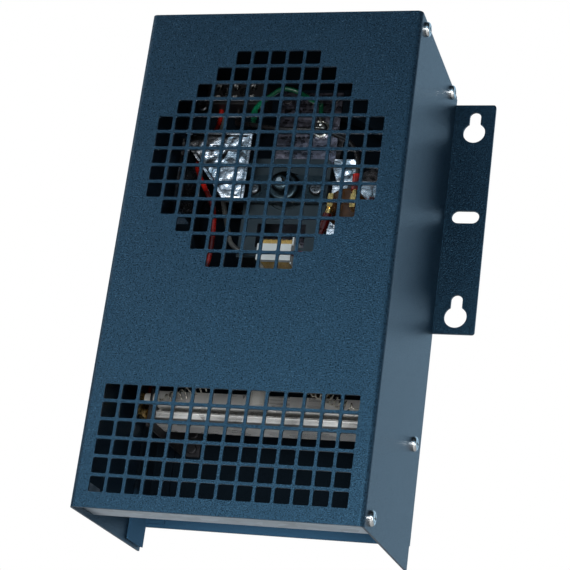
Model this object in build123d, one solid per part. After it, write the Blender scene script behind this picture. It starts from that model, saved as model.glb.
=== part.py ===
from build123d import *
from math import cos, pi, radians, sin, sqrt, tan
import os

# A cabinet heater, in millimetres. X runs across the front, Y from the front to the wall, Z up.
# The origin is the middle of the footprint, level with the lower edges of the cover.

# casing
case_width = 149.2
case_height = 272.0
case_depth = 101.6
cover_sheet = 1.2
cover_bend = 2.8
back_sheet = 1.6
sheet_bend = 1.8
seat_gap = 0.2
corner_round = 1.4

# grilles
hole_pitch = 9.525
hole_size = 7.94
hole_corner = 0.9
intake_across = 13
intake_edge = 5
outlet_columns = 14
outlet_rows = 6
outlet_base = 12.0

# back plate
back_lower_edge = 13.6
top_recess = 1.0
top_tab = 9.0
tab_end_gap = 4.0
ear_span = 195.2
ear_height = 136.6
ear_top_gap = 5.0
ear_corner = 1.5
keyhole_span = 172.8
keyhole_rise = 109.8
keyhole_base = 9.8
keyhole_radius = 6.2
keyhole_slot = 6.4
keyhole_lift = 9.5
level_slot_length = 15.3
level_slot_height = 7.5

# side angles
angle_leg = 12.0
angle_fan_gap = 1.3
angle_base = 2.0
angle_overlap = 3.5
angle_foot_gap = 2.0
angle_sheet = 1.5

# bottom rail
rail_recess = 3.0
rail_depth = 28.1
rail_tab = 12.0
rail_lip = 5.0
rail_sheet = 1.2
rail_relief = 2.0

# cover screws and rivets
screw_radius = 1.9
screw_head_radius = 4.0
screw_head_height = 2.4
screw_head_round = 1.7
screw_length = 8.0
screw_room = 0.1
recess_width = 0.9
recess_reach = 2.2
recess_depth = 1.2
screw_front_inset = 11.3
top_screw_drop = 5.0
low_screw_rise = 6.6
rear_screw_inset = 17.8
low_rear_screw_rise = 63.7
rivet_radius = 1.6
rivet_head_radius = 3.0
rivet_head_height = 1.0
rivet_head_round = 0.8

# fan
fan_plate_gap = 8.9
orifice_radius = 60.5
collar_depth = 11.0
collar_flange = 2.4
fan_sheet = 1.2
standoff_length = 31.3
fan_plate_half_height = 72.0
fan_plate_side_gap = 0.8
fan_lip = 8.0
standoff_radius = 4.0
spigot_radius = 2.5
standoff_screw_length = 6.0
standoff_bore = 9.0
standoff_side = 8.6
standoff_edge = 10.0
blade_count = 5
tip_gap = 3.0
blade_thickness = 1.6
blade_root_chord = 24.0
blade_tip_chord = 36.0
blade_root_pitch = 38.0
blade_tip_pitch = 22.0
blade_camber = 2.6
blade_edge = 0.6
blade_mean_radius = 36.0
impeller_hub_radius = 16.0
impeller_hub_wall = 2.0
impeller_boss_radius = 5.0
impeller_depth = 15.0
impeller_behind = 6.5
clip_thickness = 1.0
clip_width = 1.6
clip_gap = 2.4

# motor
shaft_radius = 2.0
shaft_proud = 1.4
shaft_tail = 2.0
shaft_nose = 0.5
running_clearance = 0.05
shaft_room = 0.4
core_half_width = 23.0
core_top = 19.0
core_limb_width = 9.5
core_limb_height = 6.0
core_limb_drop = 35.5
core_stack = 14.0
core_ahead = 23.5
core_corner = 3.0
rotor_radius = 10.6
air_gap = 0.4
rotor_end_gap = 0.6
bobbin_wall = 0.8
bobbin_flange = 0.8
bobbin_flange_proud = 0.6
winding_depth = 3.2
winding_half_length = 8.6
winding_corner = 1.4
limb_room = 0.1
bobbin_foot_height = 9.2
bobbin_foot_reach = 3.0
bobbin_foot_drop = 7.0
bracket_plate = 3.0
bracket_half_height = 8.0
housing_radius = 9.0
housing_round = 2.4
cap_radius = 5.5
cap_round = 2.6
cap_step = 6.0
cap_ahead = 37.5
rear_housing_behind = 0.5
rear_housing_wall = 1.2
front_housing_wall = 3.0
bearing_radius = 3.8
bearing_length = 8.0
motor_screw_spread = 17.5
motor_screw_end = 1.0
spacer_radius = 3.5
nut_radius = 3.5
nut_height = 3.0
strap_width = 36.0
strap_sheet = 1.5
strap_overlap = 9.0
ground_across = 8.0
ground_rise = 46.5
ground_screw_length = 5.0
ring_radius = 5.2
ring_barrel_start = 4.3
ring_sheet = 1.0
ring_barrel_radius = 1.9
ring_barrel_length = 8.0
ring_barrel_lean = -0.1

# control bracket and thermostat
bracket_sheet = 1.2
bracket_foot = 10.0
control_ahead = 34.5
control_inner = 20.0
control_height = 40.0
control_rise = 9.0
control_cut_width = 30.5
control_cut_height = 38.8
control_cut_depth = 4.0
bracket_bend = 1.8
bracket_clear = 0.2
thermostat_ahead = 21.5
thermostat_inner = 24.5
thermostat_height = 38.0
thermostat_drop = 12.0
thermostat_across = 36.0
thermostat_radius = 11.0
thermostat_body_depth = 9.2
thermostat_round = 1.0
thermostat_cap_radius = 8.0
thermostat_cap_depth = 3.0
thermostat_flange = 0.8
thermostat_flange_width = 8.0
thermostat_flange_length = 36.0
thermostat_rivet_rise = 14.5
spade_width = 6.3
spade_thickness = 0.8
spade_length = 8.0
spade_spread = 12.0
sleeve_wall = 1.1
sleeve_length = 9.0
spade_clearance = 0.05
receptacle_wall = 1.0
receptacle_side = 0.65
receptacle_depth = 7.0
receptacle_proud = 1.2
barrel_radius = 1.9
barrel_start = 2.8
barrel_length = 4.0
load_slant = 12.0

# terminal block
block_width = 34.0
block_height = 14.0
block_depth = 15.0
block_poles = 3
block_rise = 63.0
block_across = -40.0
block_corner = 0.8
pole_pitch = 10.0
pole_screw_radius = 2.2
pole_screw_sink = 1.0
pole_screw_length = 5.0
pole_screw_rise = 3.4
block_screw_radius = 1.5
block_screw_head = 2.6
block_screw_head_height = 1.2
pocket_depth = 3.0
pocket_room = 0.2
front_pocket = 8.0
rear_pocket = 12.0

# heating element
element_half_width = 57.0
element_ahead = 51.2
element_depth = 18.0
tray_underside = 58.2
tray_lip = 6.4
tray_bead = 0.9
shield_rise = 8.6
shield_depth = 19.0
shield_front_lip = 8.7
element_sheet = 1.0
end_plate_margin = 4.5
end_plate_ahead = 60.2
end_flange = 10.0
bushing_radius = 3.0
bushing_flange_radius = 3.4
bushing_flange = 1.2
bushing_length = 6.0
coil_wire = 0.8
coil_radius = 2.6
coil_pitch = 3.05
coil_front_inset = 5.0
coil_rear_inset = 12.6
coil_rise = 5.1
coil_curls = 33
upper_coil_curls = 16
coil_lead_room = 0.1
coil_lead_run = 3.0
gap_steps = 6
gap_window = 150
upper_coil_ahead = 4.5
upper_coil_lift = 11.3
upper_coil_rise = 17.6
post_radius = 4.0
post_height = 22.0
post_round = 0.8
post_tab = 5.0
post_end_gap = 1.5
tray_rear_lip = 3.1
shield_lip = 4.0
bus_thickness = 3.0
bus_gap = 1.0
bus_margin = 3.0
limit_across = 30.0
limit_radius = 8.0
limit_height = 8.0
limit_cap_height = 2.0
limit_cap_radius = 7.0
limit_stud_radius = 1.6
limit_stud_height = 5.0
limit_stud_spread = 4.0
limit_inset = 9.5

# leads and inlet
lead_diameter = 2.6
lead_run = 9.0
corner_share = 0.45
splice_radius = 3.4
splice_length = 12.0
splice_across = 26.0
splice_ahead = 33.7
splice_share = 0.29
splice_spread = 1.4
inlet_radius = 8.0
inlet_flange_radius = 11.0
inlet_flange = 3.0
inlet_depth = 12.0
inlet_bore = 4.5
inlet_across = 44.0
inlet_ahead = 12.9
inlet_wall_gap = 0.1

# derived planes
front_y = -case_depth / 2
back_y = case_depth / 2
wall_y = back_y - back_sheet
cover_inner_y = front_y + cover_sheet
cover_inner_x = case_width / 2 - cover_sheet
flange_x = cover_inner_x - seat_gap
top_z = case_height - top_recess
top_under_z = top_z - back_sheet
ear_base = case_height - ear_top_gap - ear_height
axis_height = top_under_z - fan_plate_gap - fan_plate_half_height
fan_low_z = axis_height - fan_plate_half_height
fan_plate_y = wall_y - standoff_length - fan_sheet
fan_plate_x = cover_inner_x - fan_plate_side_gap
standoff_across = 2 * (fan_plate_x - standoff_side)
standoff_rise = 2 * (fan_plate_half_height - standoff_edge)
angle_depth = standoff_length - fan_lip - angle_fan_gap
angle_height = fan_low_z + angle_overlap - angle_base
angle_foot = back_lower_edge + angle_foot_gap
strap_y = fan_plate_y - strap_sheet
core_y = fan_plate_y - core_ahead
core_rear_y = core_y + core_stack
bracket_y = core_y - bracket_plate
cap_y = fan_plate_y - cap_ahead
housing_y = cap_y + cap_step
rear_housing_y = fan_plate_y + rear_housing_behind
impeller_y = fan_plate_y + impeller_behind
boss_length = impeller_depth - clip_thickness - shaft_tail
limb_z = axis_height - core_limb_drop
flange_margin = bobbin_wall + winding_depth + bobbin_flange_proud
bobbin_half_length = winding_half_length + bobbin_flange
foot_base = limb_z - bobbin_foot_drop
foot_y = core_y - flange_margin - bobbin_foot_reach / 2
foot_z = foot_base + bobbin_foot_height / 2
bracket_outer = orifice_radius + bracket_clear
control_y = fan_plate_y - control_ahead
control_z = axis_height + control_rise
thermostat_z = axis_height - thermostat_drop
thermostat_y = fan_plate_y - thermostat_ahead
block_z = axis_height + block_rise - block_height / 2
block_y = fan_plate_y - block_depth
lead_radius = lead_diameter / 2
spade_y = thermostat_y - thermostat_flange - thermostat_body_depth
load_direction = (-sin(radians(load_slant)), 0.0, -cos(radians(load_slant)))
feed_direction = (0.0, 0.0, 1.0)
element_y = wall_y - element_ahead
shield_underside = tray_underside + shield_rise
shield_top = shield_underside + element_sheet
coil_level = tray_underside + coil_rise
coil_y = element_y + coil_front_inset
upper_coil_y = element_y - upper_coil_ahead
upper_coil_level = tray_underside + upper_coil_lift
limit_y = element_y + limit_inset
limit_top = shield_top + limit_height + limit_cap_height + limit_stud_height
bus_x = element_half_width - element_sheet - bushing_flange + bushing_length + bus_gap
bus_z = coil_level - bus_margin
bus_top = upper_coil_level + bus_margin
splice_y = fan_plate_y - splice_ahead
splice_base = limit_top + splice_share * (foot_z - limit_top)
sleeve_run = sleeve_length / (1 - corner_share) + lead_radius

# middle points of the leads' routes, in shares of the round opening's radius, from its centre:
# across, ahead of the fan plate and above the axis
return_route = [
    (-0.595, -0.648, -1.116),
    (-0.512, -0.653, -0.702),
    (-0.545, -0.653, -0.289),
    (-0.669, -0.653, -0.091),
    (-0.860, -0.450, 0.207),
    (-0.876, -0.309, 0.421),
]
ground_route = [
    (-0.397, -0.474, 0.769),
    (-0.099, -0.607, 0.909),
    (0.050, -0.607, 0.873),
    (0.169, -0.408, 0.855),
]
feed_route = [
    (-0.479, -0.375, 0.669),
    (-0.132, -0.491, 0.554),
    (0.298, -0.524, 0.537),
    (0.587, -0.566, 0.405),
]
neutral_route = [
    (-0.413, -0.491, -0.554),
    (-0.545, -0.375, -0.223),
    (-0.694, -0.243, 0.174),
    (-0.826, -0.144, 0.554),
]
load_route = [(0.446, -0.607, -0.835)]
motor_route = [(0.364, -0.549, -0.835)]

parts_folder = "parts"
os.makedirs(parts_folder, exist_ok=True)


def save(shape, name):
    """Writes one node's solids."""
    solids = shape.solids()
    body = solids[0] if len(solids) == 1 else Compound(children=solids)
    body.label = name
    export_step(body, os.path.join(parts_folder, name + ".step"))


def block(x0, x1, y0, y1, z0, z1):
    """A box between two corners."""
    size = Box(x1 - x0, y1 - y0, z1 - z0)
    return Pos((x0 + x1) / 2, (y0 + y1) / 2, (z0 + z1) / 2) * size


def rod(point, direction, radius, length):
    """A round bar from a point along a direction."""
    bar = Cylinder(radius, length, align=(Align.CENTER, Align.CENTER, Align.MIN))
    return Plane(origin=point, z_dir=direction) * bar


def folded(points, sheet, bend, plane, length):
    """A strip of sheet bent along the middle line through the points, and long across the plane."""
    middle = FilletPolyline(*points, radius=bend)
    return extrude(plane * trace(middle, line_width=sheet), amount=length)


def group(shapes):
    """Separate solids that share one node."""
    return Compound(children=[solid for shape in shapes for solid in shape.solids()])


def pan_screw(point, direction, length):
    """A cross-recessed pan head screw on its seat, with the direction out through the head."""
    head = Cylinder(screw_head_radius, screw_head_height, align=(Align.CENTER, Align.CENTER, Align.MIN))
    head = fillet(head.edges().group_by(Axis.Z)[-1], screw_head_round)
    sunk = screw_head_height - recess_depth
    for turn in (0, 90):
        bar = Box(2 * recess_reach, recess_width, 2 * recess_depth)
        head -= Pos(0, 0, sunk + recess_depth) * Rot(0, 0, turn) * bar
    shank = Cylinder(screw_radius, length, align=(Align.CENTER, Align.CENTER, Align.MAX))
    return Plane(origin=point, z_dir=direction) * (head + shank)


def rivet(point, direction, grip):
    """A blind rivet with a low domed head on its seat and a shank through the grip."""
    head = Cylinder(rivet_head_radius, rivet_head_height, align=(Align.CENTER, Align.CENTER, Align.MIN))
    head = fillet(head.edges().group_by(Axis.Z)[-1], rivet_head_round)
    shank = Cylinder(rivet_radius, grip, align=(Align.CENTER, Align.CENTER, Align.MAX))
    return Plane(origin=point, z_dir=direction) * (head + shank)


def drill(point, direction, radius, reach):
    """A hole cutter centred on a point and reaching both ways."""
    bar = Cylinder(radius, 2 * reach)
    return Plane(origin=point, z_dir=direction) * bar


def screw_spots():
    """Where the cover screws sit on each side, as (y, z)."""
    front = front_y + screw_front_inset
    rear = back_y - rear_screw_inset
    high = case_height - top_screw_drop
    return [(front, high), (rear, high), (rear, low_rear_screw_rise), (front, low_screw_rise)]


def hole_grid():
    """Centres of the square holes, as (x, z)."""
    spots = []
    for row in range(intake_across):
        side = min(row, intake_across - 1 - row)
        count = min(intake_across, intake_edge + 2 * side)
        z = axis_height + (row - (intake_across - 1) / 2) * hole_pitch
        for column in range(count):
            spots.append(((column - (count - 1) / 2) * hole_pitch, z))
    for row in range(outlet_rows):
        for column in range(outlet_columns):
            x = (column - (outlet_columns - 1) / 2) * hole_pitch
            spots.append((x, outlet_base + row * hole_pitch))
    return spots


def cover():
    """The front and both sides, bent from one sheet, with the two grilles punched in it."""
    middle_y = (front_y + wall_y) / 2
    outer = Pos(0, middle_y) * Rectangle(case_width, wall_y - front_y)
    outer = fillet(outer.vertices().group_by(Axis.Y)[0], cover_bend)
    inner = Pos(0, middle_y + cover_sheet) * Rectangle(2 * cover_inner_x, wall_y - front_y)
    inner = fillet(inner.vertices().group_by(Axis.Y)[0], cover_bend - cover_sheet)
    shell = extrude(outer - inner, amount=case_height)
    hole = extrude(RectangleRounded(hole_size, hole_size, hole_corner), amount=2 * cover_sheet, both=True)
    hole = Plane(origin=(0, front_y, 0), x_dir=(1, 0, 0), z_dir=(0, -1, 0)) * hole
    shell -= [Pos(x, 0, z) * hole for x, z in hole_grid()]
    reach = case_width
    holes = [drill((0, y, z), (1, 0, 0), screw_radius + screw_room, reach) for y, z in screw_spots()]
    return shell - holes


def standoff_spots():
    """Where the four stand-offs sit, as (x, z)."""
    half = (standoff_across / 2, standoff_rise / 2)
    return [(sx * half[0], axis_height + sz * half[1]) for sx in (-1, 1) for sz in (-1, 1)]


def angle_rivet_spots():
    """Rivets of the side angles, as (x, z)."""
    x = flange_x - angle_leg / 2
    low = back_lower_edge + angle_leg
    high = angle_base + angle_height - angle_leg
    return [(sx * x, z) for sx in (-1, 1) for z in (low, high)]


def element_rivet_spots():
    """Rivets of the element brackets, as (x, z)."""
    x = element_half_width - end_flange / 2
    low = tray_underside
    high = shield_underside
    return [(sx * x, z) for sx in (-1, 1) for z in (low, high)]


def keyhole(x, z):
    """A cutter for one keyhole: a round entry with a narrower slot above it."""
    entry = drill((x, back_y, z), (0, 1, 0), keyhole_radius, 2 * back_sheet)
    half = keyhole_slot / 2
    slot = block(x - half, x + half, wall_y - back_sheet, back_y + back_sheet, z, z + keyhole_lift)
    return entry + slot + drill((x, back_y, z + keyhole_lift), (0, 1, 0), half, 2 * back_sheet)


def level_slot(x, z):
    """A cutter for one level slot."""
    shape = SlotOverall(level_slot_length, level_slot_height)
    cutter = extrude(Plane.XZ * shape, amount=2 * back_sheet, both=True)
    return Pos(x, back_y, z) * cutter


def back_plate():
    """The wall plate with its two ears and the top flange that is bent forward from it."""
    plate = block(-case_width / 2, case_width / 2, wall_y, back_y, back_lower_edge, top_z)
    ears = block(-ear_span / 2, ear_span / 2, wall_y, back_y, ear_base, ear_base + ear_height)
    ears = fillet(ears.edges().filter_by(Axis.Y), ear_corner)
    flange_front = cover_inner_y + seat_gap
    flange = block(-flange_x, flange_x, flange_front, back_y, top_under_z, top_z)
    flange = fillet(flange.edges().filter_by(Axis.Z).group_by(Axis.Y)[0], corner_round)
    tab_y = (cover_inner_y + tab_end_gap, wall_y - tab_end_gap)
    tabs = block(-flange_x, flange_x, tab_y[0], tab_y[1], top_z - top_tab, top_z)
    tab_x = flange_x - back_sheet
    tabs -= block(-tab_x, tab_x, tab_y[0], tab_y[1], top_z - top_tab, top_under_z)
    body = plate + ears + flange + tabs
    for side in (-1, 1):
        x = side * keyhole_span / 2
        for rise in (0, keyhole_rise):
            body -= keyhole(x, ear_base + keyhole_base + rise)
        body -= level_slot(x, ear_base + ear_height / 2)
    tab_spots = screw_spots()[:2]
    holes = [drill((0, y, z), (1, 0, 0), screw_radius + screw_room, case_width) for y, z in tab_spots]
    for x, z in angle_rivet_spots() + element_rivet_spots():
        holes.append(drill((x, back_y, z), (0, 1, 0), rivet_radius + screw_room, 2 * back_sheet))
    for x, z in standoff_spots():
        holes.append(drill((x, back_y, z), (0, 1, 0), spigot_radius + screw_room, 2 * back_sheet))
    holes.append(drill(inlet_point(), (0, 0, 1), inlet_radius + inlet_wall_gap, 2 * back_sheet))
    return body - holes


def side_angle(side):
    """A corner angle riveted to the wall plate, which takes the low rear cover screw."""
    half = angle_sheet / 2
    points = [
        (side * (flange_x - angle_leg), wall_y - half),
        (side * (flange_x - half), wall_y - half),
        (side * (flange_x - half), wall_y - angle_depth),
    ]
    angle = Pos(0, 0, angle_base) * folded(points, angle_sheet, sheet_bend, Plane.XY, angle_height)
    inner = flange_x - angle_sheet
    low_leg = block(inner - angle_leg, inner, wall_y - angle_leg, wall_y, angle_base, angle_foot)
    angle -= low_leg if side > 0 else mirror(low_leg, Plane.YZ)
    rear = screw_spots()[2]
    holes = [drill((0, rear[0], rear[1]), (1, 0, 0), screw_radius + screw_room, case_width)]
    for x, z in angle_rivet_spots():
        holes.append(drill((x, wall_y, z), (0, 1, 0), rivet_radius + screw_room, 2 * back_sheet))
    return angle - holes


def bottom_rail():
    """The level rail behind the front's lower edge, with a tab at each end for the low front screws."""
    y0 = cover_inner_y + seat_gap
    y1 = y0 + rail_depth
    z1 = rail_recess + rail_sheet
    rail = block(-flange_x, flange_x, y0, y1, rail_recess, z1)
    rail = fillet(rail.edges().filter_by(Axis.Z).group_by(Axis.Y)[0], corner_round)
    rail += block(-flange_x, flange_x, y1 - rail_sheet, y1, rail_recess, z1 + rail_lip)
    for side in (-1, 1):
        x = side * (flange_x - rail_sheet / 2)
        half = rail_sheet / 2
        rail += block(x - half, x + half, y0 + rail_relief, y1, rail_recess, z1 + rail_tab)
    front = screw_spots()[3]
    rail -= drill((0, front[0], front[1]), (1, 0, 0), screw_radius + screw_room, case_width)
    return rail


def cover_screws():
    """Eight pan head screws, four in each side of the cover."""
    x = case_width / 2
    spots = [(side, y, z) for side in (-1, 1) for y, z in screw_spots()]
    return group([pan_screw((side * x, y, z), (side, 0, 0), screw_length) for side, y, z in spots])


def wall_rivets():
    """Rivets that hold the side angles and the element brackets to the wall plate."""
    rivets = [rivet((x, wall_y - angle_sheet, z), (0, -1, 0), back_sheet + angle_sheet)
              for x, z in angle_rivet_spots()]
    rivets += [rivet((x, wall_y - element_sheet, z), (0, -1, 0), back_sheet + element_sheet)
               for x, z in element_rivet_spots()]
    return group(rivets)


def strap_rivet_spots():
    """Rivets at both ends of the motor strap, as (x, z)."""
    x = strap_width / 2 - strap_overlap / 2
    rise = orifice_radius + strap_overlap / 2
    return [(sx * x, axis_height + sz * rise) for sx in (-1, 1) for sz in (-1, 1)]


def foot_rivet_spots(side, middle, height):
    """Rivets in a bracket's foot on the fan plate, as (x, z)."""
    x = side * (orifice_radius + bracket_sheet + bracket_foot / 2)
    return [(x, middle - height / 4), (x, middle + height / 4)]


def fan_plate():
    """The plate with the round opening in front of the fan, and a lip along its two level edges."""
    y0, y1 = fan_plate_y, fan_plate_y + fan_sheet
    z0, z1 = axis_height - fan_plate_half_height, axis_height + fan_plate_half_height
    plate = block(-fan_plate_x, fan_plate_x, y0, y1, z0, z1)
    plate += block(-fan_plate_x, fan_plate_x, y0, y1 + fan_lip, z0, z0 + fan_sheet)
    plate += block(-fan_plate_x, fan_plate_x, y0, y1 + fan_lip, z1 - fan_sheet, z1)
    plate -= drill((0, y0, axis_height), (0, 1, 0), orifice_radius, case_depth)
    holes = []
    for x, z in standoff_spots():
        holes.append(drill((x, y0, z), (0, 1, 0), screw_radius + screw_room, 2 * fan_sheet))
    for x, z in fan_plate_rivet_spots():
        holes.append(drill((x, y0, z), (0, 1, 0), rivet_radius + screw_room, 2 * fan_sheet))
    for x, z in block_screw_spots():
        holes.append(drill((x, y0, z), (0, 1, 0), block_screw_radius + screw_room, 2 * fan_sheet))
    return plate - holes


def fan_collar():
    """The collar behind the opening, which the fan turns in, with a flange on the fan plate."""
    point = (0, fan_plate_y + fan_sheet, axis_height)
    collar = rod(point, (0, 1, 0), orifice_radius + fan_sheet, collar_depth)
    collar += rod(point, (0, 1, 0), orifice_radius + fan_sheet + collar_flange, fan_sheet)
    return collar - drill(point, (0, 1, 0), orifice_radius, case_depth)


def fan_plate_rivet_spots():
    """All rivets that go through the fan plate, as (x, z)."""
    spots = strap_rivet_spots()
    spots += foot_rivet_spots(-1, control_z, control_height)
    return spots + foot_rivet_spots(1, thermostat_z, thermostat_height)


def fan_plate_rivets():
    """Rivets of the motor strap and of the two brackets."""
    strap_spots = strap_rivet_spots()
    strap = [rivet((x, strap_y, z), (0, -1, 0), strap_sheet + fan_sheet) for x, z in strap_spots]
    bracket_foot_y = fan_plate_y - bracket_sheet
    spots = foot_rivet_spots(-1, control_z, control_height)
    spots += foot_rivet_spots(1, thermostat_z, thermostat_height)
    feet = [rivet((x, bracket_foot_y, z), (0, -1, 0), bracket_sheet + fan_sheet) for x, z in spots]
    return group(strap + feet)


def fan_standoffs():
    """Four round stand-offs pressed into the wall plate, which carry the fan plate."""
    y0 = fan_plate_y + fan_sheet
    pieces = []
    for x, z in standoff_spots():
        piece = rod((x, y0, z), (0, 1, 0), standoff_radius, wall_y - y0)
        piece += rod((x, wall_y, z), (0, 1, 0), spigot_radius, back_sheet)
        pieces.append(piece - rod((x, y0, z), (0, 1, 0), screw_radius, standoff_bore))
    return group(pieces)


def standoff_screws():
    """Four pan head screws that hold the fan plate to its stand-offs."""
    spots = [(x, fan_plate_y, z) for x, z in standoff_spots()]
    return group([pan_screw(spot, (0, -1, 0), standoff_screw_length) for spot in spots])


def motor_strap():
    """The strap across the round opening, which carries the motor."""
    half = strap_width / 2
    rise = orifice_radius + strap_overlap
    strap = block(-half, half, strap_y, fan_plate_y, axis_height - rise, axis_height + rise)
    holes = [drill((0, strap_y, axis_height), (0, 1, 0), housing_radius + screw_room, 2 * strap_sheet)]
    for x, z in strap_rivet_spots():
        holes.append(drill((x, strap_y, z), (0, 1, 0), rivet_radius + screw_room, 2 * strap_sheet))
    for side in (-1, 1):
        point = (side * motor_screw_spread, strap_y, axis_height)
        holes.append(drill(point, (0, 1, 0), screw_radius + screw_room, 2 * strap_sheet))
    holes.append(drill(ground_point(), (0, 1, 0), screw_radius + screw_room, 2 * strap_sheet))
    return strap - holes


def motor_core():
    """The stack of steel laminations: a round bore above, a limb for the coil below."""
    z_low = limb_z - core_limb_height / 2
    z_limb = z_low + core_limb_height
    z_window = axis_height - core_top
    core = block(-core_half_width, core_half_width, core_y, core_rear_y, z_low, axis_height + core_top)
    inner = core_half_width - core_limb_width
    core -= block(-inner, inner, core_y, core_rear_y, z_limb, z_window)
    core = fillet(core.edges().filter_by(Axis.Y).group_by(Axis.Z)[-1], core_corner)
    core -= drill((0, core_y, axis_height), (0, 1, 0), rotor_radius + air_gap, case_depth)
    for side in (-1, 1):
        point = (side * motor_screw_spread, core_y, axis_height)
        core -= drill(point, (0, 1, 0), screw_radius + screw_room, case_depth)
    return core


def limb_box(margin, half_length):
    """A box round the coil limb, larger than the limb by a margin."""
    half = core_limb_height / 2 + margin
    y0, y1 = core_y - margin, core_rear_y + margin
    return block(-half_length, half_length, y0, y1, limb_z - half, limb_z + half)


def coil_bobbin():
    """The white bobbin: a tube with a flange at each end and a foot for the two leads."""
    outer = bobbin_half_length
    bobbin = limb_box(bobbin_wall, outer)
    for side in (-1, 1):
        cheek = limb_box(flange_margin, bobbin_flange / 2)
        bobbin += Pos(side * (outer - bobbin_flange / 2), 0, 0) * cheek
    y = core_y - flange_margin
    foot_top = foot_base + bobbin_foot_height
    bobbin += block(-outer, outer, y - bobbin_foot_reach, y, foot_base, foot_top)
    return bobbin - limb_box(limb_room, 2 * outer)


def coil_winding():
    """The wound and taped copper on the bobbin."""
    winding = limb_box(bobbin_wall + winding_depth, winding_half_length)
    winding = fillet(winding.edges().filter_by(Axis.X), winding_corner)
    return winding - limb_box(bobbin_wall, 2 * winding_half_length)


def front_housing():
    """The front bearing bracket, with a stepped and rounded housing open towards the rotor."""
    housing = rod((0, housing_y, axis_height), (0, 1, 0), housing_radius, core_y - housing_y)
    housing = fillet(housing.edges().filter_by(GeomType.CIRCLE).sort_by(Axis.Y)[0], housing_round)
    cap = rod((0, cap_y, axis_height), (0, 1, 0), cap_radius, core_y - cap_y)
    cap = fillet(cap.edges().filter_by(GeomType.CIRCLE).sort_by(Axis.Y)[0], cap_round)
    bracket = motor_bar(bracket_y) + housing + cap
    pocket_y = cap_y + front_housing_wall
    bracket -= rod((0, pocket_y, axis_height), (0, 1, 0), bearing_radius, core_y - pocket_y)
    return bracket - drill((0, cap_y, axis_height), (0, 1, 0), shaft_radius + shaft_room, case_depth)


def rear_housing():
    """The rear bearing bracket, whose housing passes through the strap."""
    point = (0, core_rear_y, axis_height)
    housing = rod(point, (0, 1, 0), housing_radius, rear_housing_y - core_rear_y)
    bracket = motor_bar(core_rear_y) + housing
    pocket = rear_housing_y - core_rear_y - rear_housing_wall
    bracket -= rod(point, (0, 1, 0), bearing_radius, pocket)
    return bracket - drill(point, (0, 1, 0), shaft_radius + shaft_room, case_depth)


def motor_bar(y):
    """The flat bar of a bearing bracket, across the core."""
    z0, z1 = axis_height - bracket_half_height, axis_height + bracket_half_height
    bar = block(-core_half_width, core_half_width, y, y + bracket_plate, z0, z1)
    bar = fillet(bar.edges().filter_by(Axis.Y), core_corner)
    for side in (-1, 1):
        point = (side * motor_screw_spread, y, axis_height)
        bar -= drill(point, (0, 1, 0), screw_radius + screw_room, case_depth)
    return bar


def motor_bearings():
    """Two plain bearing bushes pressed into their housings."""
    pieces = []
    bore = shaft_radius + running_clearance
    for y in (cap_y + front_housing_wall, rear_housing_y - rear_housing_wall - bearing_length):
        bush = rod((0, y, axis_height), (0, 1, 0), bearing_radius, bearing_length)
        pieces.append(bush - drill((0, y, axis_height), (0, 1, 0), bore, case_depth))
    return group(pieces)


def motor_screws():
    """Two long screws through the brackets, the core, the spacers and the strap."""
    length = fan_plate_y + nut_height + motor_screw_end - bracket_y
    spots = [(side * motor_screw_spread, bracket_y, axis_height) for side in (-1, 1)]
    return group([pan_screw(spot, (0, -1, 0), length) for spot in spots])


def motor_spacers():
    """Two sleeves that hold the motor off the strap."""
    y = core_rear_y + bracket_plate
    pieces = []
    for side in (-1, 1):
        point = (side * motor_screw_spread, y, axis_height)
        sleeve = rod(point, (0, 1, 0), spacer_radius, strap_y - y)
        pieces.append(sleeve - drill(point, (0, 1, 0), screw_radius + screw_room, case_depth))
    return group(pieces)


def motor_nuts():
    """Two hexagon nuts behind the strap."""
    pieces = []
    for side in (-1, 1):
        point = (side * motor_screw_spread, fan_plate_y, axis_height)
        sides = extrude(RegularPolygon(nut_radius, 6, major_radius=False), amount=nut_height)
        nut = Plane(origin=point, z_dir=(0, 1, 0)) * sides
        pieces.append(nut - drill(point, (0, 1, 0), screw_radius, case_depth))
    return group(pieces)


def rotor_core():
    """The rotor inside the bore, clear of the laminations and of both brackets."""
    y0 = core_y + rotor_end_gap
    core = rod((0, y0, axis_height), (0, 1, 0), rotor_radius, core_stack - 2 * rotor_end_gap)
    return core - drill((0, core_y, axis_height), (0, 1, 0), shaft_radius, case_depth)


def fan_shaft():
    """The shaft, from just ahead of the front housing to just behind the fan's clip."""
    y0 = cap_y - shaft_proud
    y1 = impeller_y + boss_length + clip_thickness + shaft_tail
    shaft = rod((0, y0, axis_height), (0, 1, 0), shaft_radius, y1 - y0)
    return chamfer(shaft.edges().filter_by(GeomType.CIRCLE), shaft_nose)


def blade_section(radius, chord, pitch):
    """One section of a blade, across a radius, cambered and pitched."""
    half = chord / 2
    edge = blade_edge / 2
    top = ThreePointArc((-half, edge), (0, blade_camber + blade_thickness / 2), (half, edge))
    bottom = ThreePointArc((half, -edge), (0, blade_camber - blade_thickness / 2), (-half, -edge))
    outline = Wire([top, Line((half, edge), (half, -edge)), bottom, Line((-half, -edge), (-half, edge))])
    plane = Plane(origin=(0, 0, radius), x_dir=(1, 0, 0), z_dir=(0, 0, 1))
    return plane * Rot(0, 0, pitch) * Face(outline)


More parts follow.
